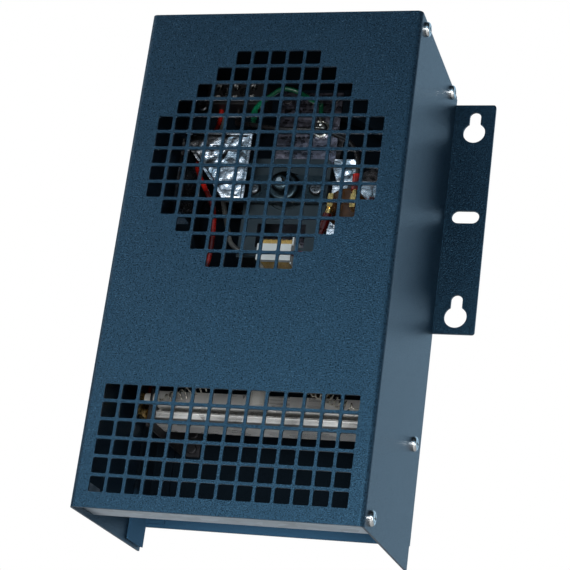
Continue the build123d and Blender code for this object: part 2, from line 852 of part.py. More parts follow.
def impeller_blade():
    """One blade, trimmed to the hub inside and to a round tip outside."""
    inner = (impeller_boss_radius + impeller_hub_radius) / 2
    outer = orifice_radius
    sections = [
        blade_section(inner, blade_root_chord, blade_root_pitch),
        blade_section(blade_mean_radius, (blade_root_chord + blade_tip_chord) / 2,
                      (blade_root_pitch + blade_tip_pitch) / 2),
        blade_section(outer, blade_tip_chord, blade_tip_pitch),
    ]
    blade = Pos(0, impeller_y + impeller_depth / 2, axis_height) * loft(sections)
    point = (0, impeller_y - impeller_depth, axis_height)
    swept = rod(point, (0, 1, 0), orifice_radius - tip_gap, 3 * impeller_depth)
    swept -= rod(point, (0, 1, 0), impeller_hub_radius - impeller_hub_wall / 2, 3 * impeller_depth)
    return blade & swept


def fan_impeller():
    """The axial fan: a cup-shaped hub open to the rear, a boss on the shaft and the blades."""
    hub = rod((0, impeller_y, axis_height), (0, 1, 0), impeller_hub_radius, impeller_depth)
    hub = fillet(hub.edges().filter_by(GeomType.CIRCLE).sort_by(Axis.Y)[0], impeller_hub_wall)
    inside = impeller_hub_radius - impeller_hub_wall
    hub -= rod((0, impeller_y + impeller_hub_wall, axis_height), (0, 1, 0), inside, impeller_depth)
    hub += rod((0, impeller_y, axis_height), (0, 1, 0), impeller_boss_radius, boss_length)
    blade = impeller_blade()
    fan = hub
    for number in range(blade_count):
        turn = Pos(0, 0, axis_height) * Rot(0, number * 360 / blade_count, 0) * Pos(0, 0, -axis_height)
        fan += turn * blade
    return fan - drill((0, impeller_y, axis_height), (0, 1, 0), shaft_radius, case_depth)


def impeller_clip():
    """The spring clip on the shaft that keeps the fan on."""
    y = impeller_y + boss_length
    ring = rod((0, y, axis_height), (0, 1, 0), shaft_radius + clip_width, clip_thickness)
    ring -= drill((0, y, axis_height), (0, 1, 0), shaft_radius, case_depth)
    half = clip_gap / 2
    top = axis_height + 2 * impeller_boss_radius
    return ring - block(-half, half, y, y + clip_thickness, axis_height, top)


def stand_bracket(side, y_panel, inner, height, middle):
    """A sheet bracket: a foot on the fan plate, a leg forward and a panel turned inwards."""
    half = bracket_sheet / 2
    x = side * (bracket_outer - half)
    foot_end = side * (bracket_outer - bracket_sheet + bracket_foot)
    points = [
        (foot_end, fan_plate_y - half),
        (x, fan_plate_y - half),
        (x, y_panel + half),
        (side * inner, y_panel + half),
    ]
    sheet = Pos(0, 0, middle - height / 2) * folded(points, bracket_sheet, bracket_bend, Plane.XY, height)
    for spot_x, spot_z in foot_rivet_spots(side, middle, height):
        point = (spot_x, fan_plate_y, spot_z)
        sheet -= drill(point, (0, 1, 0), rivet_radius + screw_room, 2 * bracket_sheet)
    return sheet


def control_bracket():
    """The bright bracket on the left, with its low outer corner cut off aslant for the leads."""
    bracket = stand_bracket(-1, control_y, control_inner, control_height, control_z)
    low = control_z - control_height / 2
    corner = Polyline(
        (-bracket_outer, low),
        (control_cut_width - bracket_outer, low),
        (-bracket_outer, low + control_cut_height),
        close=True,
    )
    plane = Plane(origin=(0, control_y, 0), x_dir=(1, 0, 0), z_dir=(0, -1, 0))
    return bracket - extrude(plane * make_face(corner), amount=control_cut_depth, both=True)


def thermostat_bracket():
    """The bracket on the right, which the thermostat is riveted to."""
    panel = stand_bracket(1, thermostat_y, thermostat_inner, thermostat_height, thermostat_z)
    centre = (thermostat_across, thermostat_y, thermostat_z)
    panel -= drill(centre, (0, 1, 0), thermostat_cap_radius + screw_room, 2 * bracket_sheet)
    for spot in thermostat_rivet_spots():
        panel -= drill(spot, (0, 1, 0), rivet_radius + screw_room, 2 * bracket_sheet)
    return panel


def thermostat_rivet_spots():
    """The two rivets of the thermostat's flange, on the panel's front face."""
    rises = (-thermostat_rivet_rise, thermostat_rivet_rise)
    return [(thermostat_across, thermostat_y, thermostat_z + rise) for rise in rises]


def thermostat_body():
    """The thermostat's moulded body."""
    y = thermostat_y - thermostat_flange
    point = (thermostat_across, y, thermostat_z)
    body = rod(point, (0, -1, 0), thermostat_radius, thermostat_body_depth)
    return fillet(body.edges().filter_by(GeomType.CIRCLE).sort_by(Axis.Y)[0], thermostat_round)


def thermostat_cap():
    """The thermostat's metal cap behind the panel, with its flange in front of it."""
    y = thermostat_y - thermostat_flange
    outline = Rot(0, 0, 90) * SlotOverall(thermostat_flange_length, thermostat_flange_width)
    flange = extrude(Plane.XZ * outline, amount=-thermostat_flange)
    cap = Pos(thermostat_across, y, thermostat_z) * flange
    depth = thermostat_flange + bracket_sheet + thermostat_cap_depth
    cap += rod((thermostat_across, y, thermostat_z), (0, 1, 0), thermostat_cap_radius, depth)
    for x, _, z in thermostat_rivet_spots():
        cap -= drill((x, y, z), (0, 1, 0), rivet_radius + screw_room, 2 * bracket_sheet)
    return cap


def thermostat_rivets():
    """The two rivets of the thermostat's flange."""
    grip = thermostat_flange + bracket_sheet
    spots = thermostat_rivet_spots()
    return group([rivet((x, y - thermostat_flange, z), (0, -1, 0), grip) for x, y, z in spots])


def spade_x(side):
    """Where one of the thermostat's spades stands."""
    return thermostat_across + side * spade_spread / 2


def thermostat_spades():
    """The two brass spades on the thermostat's face."""
    half = (spade_thickness / 2, spade_width / 2)
    pieces = []
    for side in (-1, 1):
        x = spade_x(side)
        z0, z1 = thermostat_z - half[1], thermostat_z + half[1]
        pieces.append(block(x - half[0], x + half[0], spade_y - spade_length, spade_y, z0, z1))
    return group(pieces)


def barrel_point(side, direction):
    """Where the crimp barrel of a receptacle ends and its lead begins."""
    y = spade_y - spade_length - receptacle_proud + receptacle_depth / 2
    reach = barrel_start + barrel_length
    return (spade_x(side) + direction[0] * reach, y, thermostat_z + direction[2] * reach)


def receptacle(side, direction):
    """A push-on receptacle over a spade, with its crimp barrel to one side."""
    x = spade_x(side)
    y0 = spade_y - spade_length - receptacle_proud
    half = (spade_thickness / 2 + receptacle_wall, spade_width / 2 + receptacle_side)
    z0, z1 = thermostat_z - half[1], thermostat_z + half[1]
    shell = block(x - half[0], x + half[0], y0, y0 + receptacle_depth, z0, z1)
    end = Vector(*barrel_point(side, direction))
    start = end - Vector(*direction) * barrel_length
    shell += rod(tuple(start), direction, barrel_radius, barrel_length)
    slot = (spade_thickness / 2 + spade_clearance, spade_width / 2 + spade_clearance)
    y1 = spade_y - spade_length - spade_clearance
    z0, z1 = thermostat_z - slot[1], thermostat_z + slot[1]
    shell -= block(x - slot[0], x + slot[0], y1, spade_y, z0, z1)
    return shell


def spade_receptacles():
    """The receptacles of the load lead and of the feed lead."""
    return group([receptacle(-1, load_direction), receptacle(1, feed_direction)])


def spade_sleeves():
    """The red sleeves pushed over the leads, up to the receptacles' barrels."""
    pieces = []
    for side, direction in ((-1, load_direction), (1, feed_direction)):
        point = barrel_point(side, direction)
        sleeve = rod(point, direction, lead_radius + sleeve_wall, sleeve_length)
        pieces.append(sleeve - rod(point, direction, lead_radius, sleeve_length))
    return group(pieces)


def pole_x(number):
    """Where a pole of the terminal block stands."""
    return block_across + (number - (block_poles - 1) / 2) * pole_pitch


def pole_screw_spots():
    """The screws on the block's face, two to a pole, as (x, z)."""
    middle = block_z + block_height / 2
    rises = (-pole_screw_rise, pole_screw_rise)
    return [(pole_x(number), middle + rise) for number in range(block_poles) for rise in rises]


def block_screw_spots():
    """The screws that hold the block to the fan plate, between the poles, as (x, z)."""
    middle = block_z + block_height / 2
    return [((pole_x(n) + pole_x(n + 1)) / 2, middle) for n in range(block_poles - 1)]


def terminal_block():
    """The moulded terminal block, with sunk screws and pockets for the leads."""
    x0, x1 = block_across - block_width / 2, block_across + block_width / 2
    body = block(x0, x1, block_y, fan_plate_y, block_z, block_z + block_height)
    body = fillet(body.edges().group_by(Axis.Y)[0], block_corner)
    for x, z in pole_screw_spots():
        depth = pole_screw_sink + pole_screw_length
        body -= rod((x, block_y, z), (0, 1, 0), pole_screw_radius, depth)
    for x, z in block_screw_spots():
        body -= drill((x, block_y, z), (0, 1, 0), block_screw_radius + screw_room, 2 * block_depth)
    for number in range(block_poles):
        point = (pole_x(number), block_y + front_pocket, block_z)
        body -= rod(point, (0, 0, 1), lead_radius + pocket_room, pocket_depth)
    point = (pole_x(0), block_y + rear_pocket, block_z)
    return body - rod(point, (0, 0, 1), lead_radius + pocket_room, pocket_depth)


def pole_screws():
    """The slotted clamp screws of the terminal block."""
    pieces = []
    for x, z in pole_screw_spots():
        y = block_y + pole_screw_sink
        screw = rod((x, y, z), (0, 1, 0), pole_screw_radius, pole_screw_length)
        half = recess_width / 2
        reach = 2 * pole_screw_radius
        pieces.append(screw - block(x - half, x + half, y, y + pole_screw_sink, z - reach, z + reach))
    return group(pieces)


def block_screws():
    """The two screws that hold the terminal block."""
    pieces = []
    half = recess_width / 2
    reach = screw_head_radius
    for x, z in block_screw_spots():
        y = block_y - block_screw_head_height
        head = rod((x, y, z), (0, 1, 0), block_screw_head, block_screw_head_height)
        y_slot = y + block_screw_head_height / 2
        head -= block(x - half, x + half, y, y_slot, z - reach, z + reach)
        pieces.append(head + rod((x, block_y, z), (0, 1, 0), block_screw_radius, block_depth + fan_sheet))
    return group(pieces)


def ground_point():
    """Where the ground screw goes through the strap."""
    return (ground_across, strap_y, axis_height + ground_rise)


def ground_direction():
    """The way the ground ring's barrel points."""
    return tuple(Vector(ring_barrel_lean, 0, 1).normalized())


def ground_ring():
    """The ring terminal under the ground screw."""
    point = ground_point()
    ring = rod(point, (0, -1, 0), ring_radius, ring_sheet)
    centre = (point[0], point[1] - ring_barrel_radius, point[2])
    barrel = rod(centre, ground_direction(), ring_barrel_radius, ring_barrel_length)
    barrel -= rod(centre, ground_direction(), ring_barrel_radius * 2, ring_barrel_start)
    return ring + barrel - drill(point, (0, 1, 0), screw_radius + screw_room, 2 * ring_sheet)


def ground_screw():
    """The ground screw on its ring."""
    x, y, z = ground_point()
    return pan_screw((x, y - ring_sheet, z), (0, -1, 0), ground_screw_length)


def bushing_spots():
    """Centres of the ceramic bushings in each end bracket, as (y, z)."""
    front = element_y + coil_front_inset
    rear = element_y + coil_rear_inset
    return [(front, coil_level), (rear, coil_level), (upper_coil_y, upper_coil_level)]


def element_bracket(side):
    """An end bracket of the heating element, with a flange riveted to the wall plate."""
    x1 = element_half_width
    z0 = tray_underside - end_plate_margin
    z1 = upper_coil_level + end_plate_margin
    plate = block(x1 - element_sheet, x1, wall_y - end_plate_ahead, wall_y, z0, z1)
    plate += block(x1 - end_flange, x1, wall_y - element_sheet, wall_y, z0, z1)
    for y, z in bushing_spots():
        plate -= drill((x1, y, z), (1, 0, 0), bushing_radius + screw_room, 2 * element_sheet)
    for x, z in element_rivet_spots():
        plate -= drill((x, wall_y, z), (0, 1, 0), rivet_radius + screw_room, 2 * back_sheet)
    return plate if side > 0 else mirror(plate, Plane.YZ)


def element_tray():
    """The tray under the coils, with a lip along both edges and a rolled edge on the front one."""
    half = element_sheet / 2
    z = tray_underside + half
    y0, y1 = element_y + half, element_y + element_depth - half
    points = [(y0, z + tray_lip - half), (y0, z), (y1, z), (y1, z + tray_rear_lip - half)]
    length = 2 * (element_half_width - element_sheet)
    tray = Pos(-length / 2, 0, 0) * folded(points, element_sheet, element_sheet, Plane.YZ, length)
    bead_z = tray_underside + tray_lip - tray_bead
    return tray + rod((-length / 2, y0, bead_z), (1, 0, 0), tray_bead, length)


def element_shield():
    """The shield over the coils, with a high front lip, a rear lip and a tab for the post."""
    half = element_sheet / 2
    z = shield_underside + half
    y0, y1 = element_y + half, element_y + shield_depth - half
    points = [(y0, z + shield_front_lip - half), (y0, z), (y1, z), (y1, z + shield_lip - half)]
    length = 2 * (element_half_width - element_sheet)
    shield = Pos(-length / 2, 0, 0) * folded(points, element_sheet, element_sheet, Plane.YZ, length)
    tab_y = upper_coil_y - post_tab
    return shield + block(-post_tab, post_tab, tab_y, element_y + post_tab, shield_underside, shield_top)


def element_bushings():
    """Ceramic bushings for the coils' ends, three in each end bracket."""
    inner = element_half_width - element_sheet - bushing_flange
    pieces = []
    for side in (-1, 1):
        for y, z in bushing_spots():
            bush = rod((side * inner, y, z), (side, 0, 0), bushing_radius, bushing_length)
            bush += rod((side * inner, y, z), (side, 0, 0), bushing_flange_radius, bushing_flange)
            bore = coil_wire / 2 + coil_lead_room
            pieces.append(bush - drill((side * inner, y, z), (1, 0, 0), bore, case_depth))
    return group(pieces)


def coil_post():
    """The ceramic post that carries the upper coils' inner ends."""
    post = rod((0, upper_coil_y, shield_top), (0, 0, 1), post_radius, post_height)
    post = fillet(post.edges().group_by(Axis.Z)[-1], post_round)
    z = upper_coil_level + upper_coil_rise
    bore = coil_wire / 2 + coil_lead_room
    return post - drill((0, upper_coil_y, z), (1, 0, 0), bore, 2 * post_radius)


def bus_bar(side):
    """The bar that joins the three coils at one end and takes the lead."""
    ys = [y for y, _ in bushing_spots()]
    x0 = bus_x if side > 0 else -bus_x - bus_thickness
    y0, y1 = min(ys) - bus_margin, max(ys) + bus_margin
    return block(x0, x0 + bus_thickness, y0, y1, bus_z, bus_top)


def biarc(p0, t0, p1, t1):
    """Two arcs from one point and direction to another, in line where they meet."""
    v = p1 - p0
    t = t0 + t1
    spread = 2 * (1 - t0.dot(t1))
    d = (sqrt(v.dot(t) ** 2 + spread * v.dot(v)) - v.dot(t)) / spread
    middle = (p0 + p1 + (t0 - t1) * d) / 2
    first = Edge.make_tangent_arc(p0, t0, middle)
    chord = (middle - p0).normalized()
    t_middle = chord * (2 * chord.dot(t0)) - t0
    return [first, Edge.make_tangent_arc(middle, t_middle, p1)]


def coil_edges(start, end, low, high, curls):
    """The middle line of one coil: a straight end, the curls between two points, a straight end."""
    axis = (high - low).normalized()
    across = Vector(0, 1, 0)
    up = axis.cross(across)
    pitch = (high - low).length / curls
    along = Vector(1, 0, 0)
    stops = []
    for half_turn in range(2 * curls + 1):
        angle = half_turn * pi
        centre = low + axis * (pitch * half_turn / 2)
        place = centre + (up * cos(angle) + across * sin(angle)) * coil_radius
        heading = axis * pitch + (across * cos(angle) - up * sin(angle)) * (2 * pi * coil_radius)
        stops.append((place, heading.normalized()))
    lead_in = Vector(low.X - coil_lead_run, start.Y, start.Z)
    lead_out = Vector(high.X + coil_lead_run, end.Y, end.Z)
    stops = [(lead_in, along)] + stops + [(lead_out, along)]
    edges = [Edge.make_line(start, lead_in)]
    for (p0, t0), (p1, t1) in zip(stops, stops[1:]):
        edges += biarc(p0, t0, p1, t1)
    return edges + [Edge.make_line(lead_out, end)]


def least_gap(edges):
    """The least gap between curls that aren't next to each other along the wire."""
    points = []
    run = 0.0
    for edge in edges:
        for step in range(gap_steps):
            share = step / gap_steps
            points.append((run + edge.length * share, edge.position_at(share)))
        run += edge.length
    apart = pi * coil_radius
    least = run
    for number, (place, point) in enumerate(points):
        for other_place, other in points[number + 1:number + gap_window]:
            if other_place - place > apart:
                least = min(least, (other - point).length)
    return least - coil_wire


def coil(name, start, end, low, high, curls):
    """One coil of resistance wire as an unbroken tube."""
    edges = coil_edges(Vector(*start), Vector(*end), Vector(*low), Vector(*high), curls)
    path = Wire(edges)
    tube = sweep(Plane(origin=start, z_dir=(1, 0, 0)) * Circle(coil_wire / 2), path=path)
    radii = [edge.radius for edge in edges if edge.geom_type == GeomType.CIRCLE]
    expected = pi * (coil_wire / 2) ** 2 * path.length
    print(name, "curls", curls, "least gap", round(least_gap(edges), 2))
    print(name, "least radius", round(min(radii), 2))
    print(name, "volume over section times length", round(tube.volume / expected, 4))
    return tube


def straight_coil(name, y):
    """A coil that runs level from one end bracket to the other."""
    half = coil_curls * coil_pitch / 2
    return coil(name, (-bus_x, y, coil_level), (bus_x, y, coil_level),
                (-half, y, coil_level), (half, y, coil_level), coil_curls)


def upper_coils():
    """The two sloping coils that meet at the post, each an unbroken tube."""
    y = upper_coil_y
    high = upper_coil_level + upper_coil_rise
    outer = element_half_width - element_sheet - bushing_flange - 2 * coil_lead_run
    inner = post_radius + coil_lead_run + coil_wire
    slope = upper_coil_rise / (outer - inner)
    low_z = upper_coil_level + slope * coil_wire
    left = coil("heater_coil_upper left", (-bus_x, y, upper_coil_level), (-post_end_gap, y, high),
                (-outer, y, low_z), (-inner, y, high), upper_coil_curls)
    return group([left, mirror(left, Plane.YZ)])


def limit_body():
    """The over-temperature switch's can on the shield."""
    can = rod((limit_across, limit_y, shield_top), (0, 0, 1), limit_radius, limit_height)
    return fillet(can.edges().group_by(Axis.Z)[-1], post_round)


def limit_cap():
    """The switch's insulating cap."""
    point = (limit_across, limit_y, shield_top + limit_height)
    return rod(point, (0, 0, 1), limit_cap_radius, limit_cap_height)


def limit_studs():
    """The switch's two studs."""
    z = limit_top - limit_stud_height
    xs = [limit_across + side * limit_stud_spread for side in (-1, 1)]
    return group([rod((x, limit_y, z), (0, 0, 1), limit_stud_radius, limit_stud_height) for x in xs])


def lead_splice():
    """The crimped splice where the load, motor and limit leads join."""
    point = (splice_across, splice_y, splice_base)
    return rod(point, (0, 0, 1), splice_radius, splice_length)


def bend_radii(points):
    """As large an arc at every corner as its two runs allow."""
    radii = []
    for before, corner, after in zip(points, points[1:], points[2:]):
        first = Vector(*corner) - Vector(*before)
        second = Vector(*after) - Vector(*corner)
        half_turn = radians(first.get_angle(second)) / 2
        radii.append(corner_share * min(first.length, second.length) / tan(half_turn))
    return radii


def lead(name, points):
    """One insulated lead along its route."""
    radii = bend_radii(points)
    path = FilletPolyline(*points, radius=radii)
    heading = Vector(*points[1]) - Vector(*points[0])
    tube = sweep(Plane(origin=points[0], z_dir=heading) * Circle(lead_radius), path=path)
    expected = pi * lead_radius ** 2 * path.length
    print(name, "length", round(path.length, 1), "radii", [round(radius, 1) for radius in radii])
    print(name, "volume over section times length", round(tube.volume / expected, 4))
    return tube


def pole_run(number, pocket):
    """The straight run of a lead that goes up into the terminal block."""
    x, y, z = pole_x(number), block_y + pocket, block_z + pocket_depth
    return [(x, y, z - pocket_depth - lead_run), (x, y, z)]


def placed(route):
    """A route's points in millimetres."""
    centre = Vector(0, fan_plate_y, axis_height)
    return [tuple(centre + Vector(*point) * orifice_radius) for point in route]


def leads():
    """Every lead inside the casing, by name."""
    bus_middle = bus_x + bus_thickness / 2
    splice_top = splice_base + splice_length
    load_start = Vector(*barrel_point(-1, load_direction))
    load_run = load_start + Vector(*load_direction) * sleeve_run
    feed_start = Vector(*barrel_point(1, feed_direction))
    feed_run = feed_start + Vector(*feed_direction) * sleeve_run
    ring_x, ring_y, ring_z = ground_point()
    ring_barrel = Vector(*ground_direction())
    ring_start = Vector(ring_x, ring_y - ring_barrel_radius, ring_z) + ring_barrel * ring_barrel_length
    ring_run = ring_start + ring_barrel * lead_run
    left_stud = limit_across - limit_stud_spread
    right_stud = limit_across + limit_stud_spread
    left_splice = splice_across - splice_spread
    right_splice = splice_across + splice_spread
    half_run = lead_run / 2
    high = limit_top + lead_run
    routes = {}
    routes["return_lead"] = [
        (-bus_middle, coil_y, bus_top),
        (-bus_middle, coil_y, bus_top + lead_run),
        *placed(return_route),
        *pole_run(0, front_pocket),
    ]
    routes["ground_lead"] = [
        *pole_run(2, front_pocket)[::-1],
        *placed(ground_route),
        tuple(ring_run),
        tuple(ring_start),
    ]
    routes["feed_lead"] = [
        *pole_run(1, front_pocket)[::-1],
        *placed(feed_route),
        tuple(feed_run),
        tuple(feed_start),
    ]
    routes["motor_neutral_lead"] = [
        (-bobbin_half_length, foot_y, foot_z),
        (-bobbin_half_length - lead_run, foot_y, foot_z),
        *placed(neutral_route),
        *pole_run(0, rear_pocket),
    ]
    routes["load_lead"] = [
        tuple(load_start),
        tuple(load_run),
        *placed(load_route),
        (right_splice, splice_y, splice_top + lead_run),
        (right_splice, splice_y, splice_top),
    ]
    routes["motor_load_lead"] = [
        (bobbin_half_length, foot_y, foot_z),
        (bobbin_half_length + lead_run, foot_y, foot_z),
        *placed(motor_route),
        (left_splice, splice_y, splice_top + lead_run),
        (left_splice, splice_y, splice_top),
    ]
    routes["limit_lead"] = [
        (splice_across, splice_y, splice_base),
        (splice_across, splice_y, splice_base - half_run),
        (left_stud, limit_y, high),
        (left_stud, limit_y, limit_top),
    ]
    routes["element_lead"] = [
        (right_stud, limit_y, limit_top),
        (right_stud, limit_y, high),
        (bus_middle, coil_y, high),
        (bus_middle, coil_y, bus_top),
    ]
    return {name: lead(name, points) for name, points in routes.items()}


def inlet_point():
    """Where the inlet goes through the top flange."""
    return (inlet_across, fan_plate_y - inlet_ahead, top_z)


def inlet_bushing():
    """The empty inlet bushing in the top flange, with its flange underneath."""
    x, y, z = inlet_point()
    bush = rod((x, y, z - inlet_depth), (0, 0, 1), inlet_radius, inlet_depth)
    bush += rod((x, y, top_under_z - inlet_flange), (0, 0, 1), inlet_flange_radius, inlet_flange)
    return bush - drill((x, y, z), (0, 0, 1), inlet_bore, case_depth)


save(cover(), "cover")
save(back_plate(), "back_plate")
save(side_angle(-1), "side_angle_left")
save(side_angle(1), "side_angle_right")
save(bottom_rail(), "bottom_rail")
save(cover_screws(), "cover_screws")
save(wall_rivets(), "wall_rivets")
save(fan_plate(), "fan_plate")
save(fan_collar(), "fan_collar")
save(group([fan_plate_rivets(), thermostat_rivets()]), "bracket_rivets")
save(fan_standoffs(), "fan_standoffs")
save(standoff_screws(), "standoff_screws")
save(motor_strap(), "motor_strap")
save(motor_core(), "motor_core")
save(coil_bobbin(), "motor_bobbin")
save(coil_winding(), "motor_winding")
save(front_housing(), "motor_front_bracket")
save(rear_housing(), "motor_rear_bracket")
save(motor_bearings(), "motor_bearings")
save(motor_screws(), "motor_screws")
save(motor_spacers(), "motor_spacers")
save(motor_nuts(), "motor_nuts")
save(rotor_core(), "rotor_core")
save(fan_shaft(), "fan_shaft")
save(fan_impeller(), "fan_impeller")
save(impeller_clip(), "impeller_clip")
save(control_bracket(), "control_bracket")
save(thermostat_bracket(), "thermostat_bracket")
save(thermostat_body(), "thermostat_body")
save(thermostat_cap(), "thermostat_cap")
save(thermostat_spades(), "thermostat_spades")
save(spade_receptacles(), "spade_receptacles")
save(spade_sleeves(), "spade_sleeves")
save(terminal_block(), "terminal_block")
save(group([pole_screws(), block_screws()]), "terminal_screws")
save(ground_ring(), "ground_ring")
save(ground_screw(), "ground_screw")
save(element_bracket(-1), "element_bracket_left")
save(element_bracket(1), "element_bracket_right")
save(element_tray(), "element_tray")
save(element_shield(), "element_shield")
save(element_bushings(), "element_bushings")
save(coil_post(), "coil_post")
save(group([bus_bar(-1), bus_bar(1)]), "bus_bars")
save(straight_coil("heater_coil_front", bushing_spots()[0][0]), "heater_coil_front")
save(straight_coil("heater_coil_rear", bushing_spots()[1][0]), "heater_coil_rear")
save(upper_coils(), "heater_coils_upper")
save(limit_body(), "limit_body")
save(limit_cap(), "limit_cap")
save(limit_studs(), "limit_studs")
save(lead_splice(), "lead_splice")
save(inlet_bushing(), "inlet_bushing")
for lead_name, lead_shape in leads().items():
    save(lead_shape, lead_name)
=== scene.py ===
import bmesh
import bpy
import math
import numpy as np
from mathutils import Matrix, Vector


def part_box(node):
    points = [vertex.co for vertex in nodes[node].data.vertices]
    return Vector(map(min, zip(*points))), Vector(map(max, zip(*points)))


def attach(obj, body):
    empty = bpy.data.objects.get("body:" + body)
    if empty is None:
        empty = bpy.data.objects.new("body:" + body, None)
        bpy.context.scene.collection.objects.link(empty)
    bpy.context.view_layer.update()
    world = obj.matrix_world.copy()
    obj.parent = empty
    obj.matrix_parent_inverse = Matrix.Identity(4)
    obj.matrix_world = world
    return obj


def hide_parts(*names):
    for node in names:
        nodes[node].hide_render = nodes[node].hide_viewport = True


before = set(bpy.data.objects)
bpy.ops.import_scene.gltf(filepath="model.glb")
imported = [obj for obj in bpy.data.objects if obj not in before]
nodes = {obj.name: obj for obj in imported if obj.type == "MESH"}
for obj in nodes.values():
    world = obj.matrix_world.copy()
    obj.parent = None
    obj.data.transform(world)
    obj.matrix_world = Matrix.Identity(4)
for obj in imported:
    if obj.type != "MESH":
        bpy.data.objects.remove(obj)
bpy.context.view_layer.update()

# where the photograph was taken from
view = {
    "place": (0.2776, -0.8452, -0.1748),
    "right": (0.95680, 0.26141, 0.12728),
    "up": (-0.02867, -0.35079, 0.93601),
    "forward": (-0.28934, 0.89923, 0.32814),
    "lens": 112.54,
    "sensor": 36,
    "shiftX": -0.0032,
    "shiftY": 0.0123,
    "nearest": 0.01,
    "farthest": 50,
}


def aimAt(place, target):
    away = (Vector(place) - Vector(target)).normalized()
    turn = away.to_track_quat("Z", "Y").to_matrix().to_4x4()
    return Matrix.Translation(place) @ turn


def makeCamera(setup):
    lens = bpy.data.cameras.new("photoCamera")
    lens.lens = setup["lens"]
    lens.sensor_width = setup["sensor"]
    lens.shift_x = setup["shiftX"]
    lens.shift_y = setup["shiftY"]
    lens.clip_start = setup["nearest"]
    lens.clip_end = setup["farthest"]
    camera = bpy.data.objects.new("photoCamera", lens)
    turn = Matrix([setup["right"], setup["up"], [-v for v in setup["forward"]]]).transposed()
    camera.matrix_world = Matrix.Translation(setup["place"]) @ turn.to_4x4()
    bpy.context.scene.collection.objects.link(camera)
    bpy.context.scene.camera = camera


# round soft lamps, all aimed at the middle of the heater; the cover's front mirrors the sheen panel
lamps = {
    "frontSoftbox": {"place": (0.30, -1.05, -0.10), "size": 0.40, "power": 8.0},
    "sheenPanel": {"place": (-0.34, -1.16, 0.14), "size": 0.60, "power": 4.2},
    "rightSoftbox": {"place": (1.25, -0.35, -0.10), "size": 0.70, "power": 3.5},
    "leftSoftbox": {"place": (-1.20, -0.55, 0.70), "size": 0.70, "power": 3.5},
}
lampTarget = (0.0, 0.0, 0.13)


def makeLamps(setup, target):
    for name, look in setup.items():
        lamp = bpy.data.lights.new(name, "AREA")
        lamp.shape = "DISK"
        lamp.size = look["size"]
        lamp.energy = look["power"]
        holder = bpy.data.objects.new(name, lamp)
        holder.matrix_world = aimAt(look["place"], target)
        bpy.context.scene.collection.objects.link(holder)


def addNode(tree, kind, settings=None, **sockets):
    node = tree.nodes.new(kind)
    for key, value in (settings or {}).items():
        setattr(node, key, value)
    for key, value in sockets.items():
        node.inputs[key.replace("_", " ")].default_value = value
    return node


def fill(tree, socket, value):
    if isinstance(value, bpy.types.NodeSocket):
        tree.links.new(value, socket)
    else:
        socket.default_value = value


def mapRange(tree, value, low, high, toLow, toHigh, smooth=False):
    node = addNode(tree, "ShaderNodeMapRange")
    if smooth:
        node.interpolation_type = "SMOOTHSTEP"
    for socket, number in zip(node.inputs[1:5], (low, high, toLow, toHigh)):
        socket.default_value = number
    tree.links.new(value, node.inputs[0])
    return node.outputs[0]


def combine(tree, operation, first, second):
    node = addNode(tree, "ShaderNodeMath", {"operation": operation})
    fill(tree, node.inputs[0], first)
    fill(tree, node.inputs[1], second)
    return node.outputs[0]


def mixNumber(tree, share, first, second):
    node = addNode(tree, "ShaderNodeMix", {"data_type": "FLOAT"})
    for socket, value in zip((node.inputs[0], node.inputs[2], node.inputs[3]), (share, first, second)):
        fill(tree, socket, value)
    return node.outputs[0]


def mixColour(tree, share, first, second):
    node = addNode(tree, "ShaderNodeMix", {"data_type": "RGBA"})
    for socket, value in zip((node.inputs[0], node.inputs[6], node.inputs[7]), (share, first, second)):
        fill(tree, socket, value)
    return node.outputs[2]


# a pale room: white where the camera looks past the heater and plain light on dull surfaces.
# Gloss finds a bluish glow in front that goes dark overhead, an even one behind, and a darker gap
# straight out to the sides, which draws the casing's bent edges. The low, high, from and to
# values are parts of the direction's unit length.
room = {
    "cameraColour": (1, 1, 1, 1),
    "cameraGlow": 1.0,
    "ambient": 0.40,
    "glossTint": (0.52, 0.78, 1.0, 1),
    "bandLow": 0.27,
    "bandHigh": 0.47,
    "bandGlow": 0.95,
    "overheadGlow": 0.06,
    "behindFrom": -0.2,
    "behindTo": 0.5,
    "behindGlow": 0.90,
    "gapFrom": 0.15,
    "gapTo": 0.70,
    "gapGlow": 0.10,
}


def makeRoom(setup):
    world = bpy.data.worlds.new("paleRoom")
    world.use_nodes = True
    tree = world.node_tree
    tree.nodes.clear()
    direction = addNode(tree, "ShaderNodeTexCoord")
    split = addNode(tree, "ShaderNodeSeparateXYZ")
    tree.links.new(direction.outputs["Generated"], split.inputs[0])
    band = mapRange(tree, split.outputs["Z"], setup["bandLow"], setup["bandHigh"],
                    setup["bandGlow"], setup["overheadGlow"], smooth=True)
    behind = mapRange(tree, split.outputs["Y"], setup["behindFrom"], setup["behindTo"], 0, 1, smooth=True)
    path = addNode(tree, "ShaderNodeLightPath")
    shiny = combine(tree, "MAXIMUM", path.outputs["Is Glossy Ray"], path.outputs["Is Transmission Ray"])
    depth = combine(tree, "ABSOLUTE", split.outputs["Y"], 0.0)
    gap = mapRange(tree, depth, setup["gapFrom"], setup["gapTo"], setup["gapGlow"], 1, smooth=True)
    gloss = combine(tree, "MULTIPLY", gap, mixNumber(tree, behind, band, setup["behindGlow"]))
    light = mixNumber(tree, shiny, setup["ambient"], gloss)
    strength = mixNumber(tree, path.outputs["Is Camera Ray"], light, setup["cameraGlow"])
    glow = addNode(tree, "ShaderNodeBackground")
    tree.links.new(mixColour(tree, shiny, setup["cameraColour"], setup["glossTint"]), glow.inputs["Color"])
    tree.links.new(strength, glow.inputs["Strength"])
    out = addNode(tree, "ShaderNodeOutputWorld")
    tree.links.new(glow.outputs[0], out.inputs["Surface"])
    bpy.context.scene.world = world


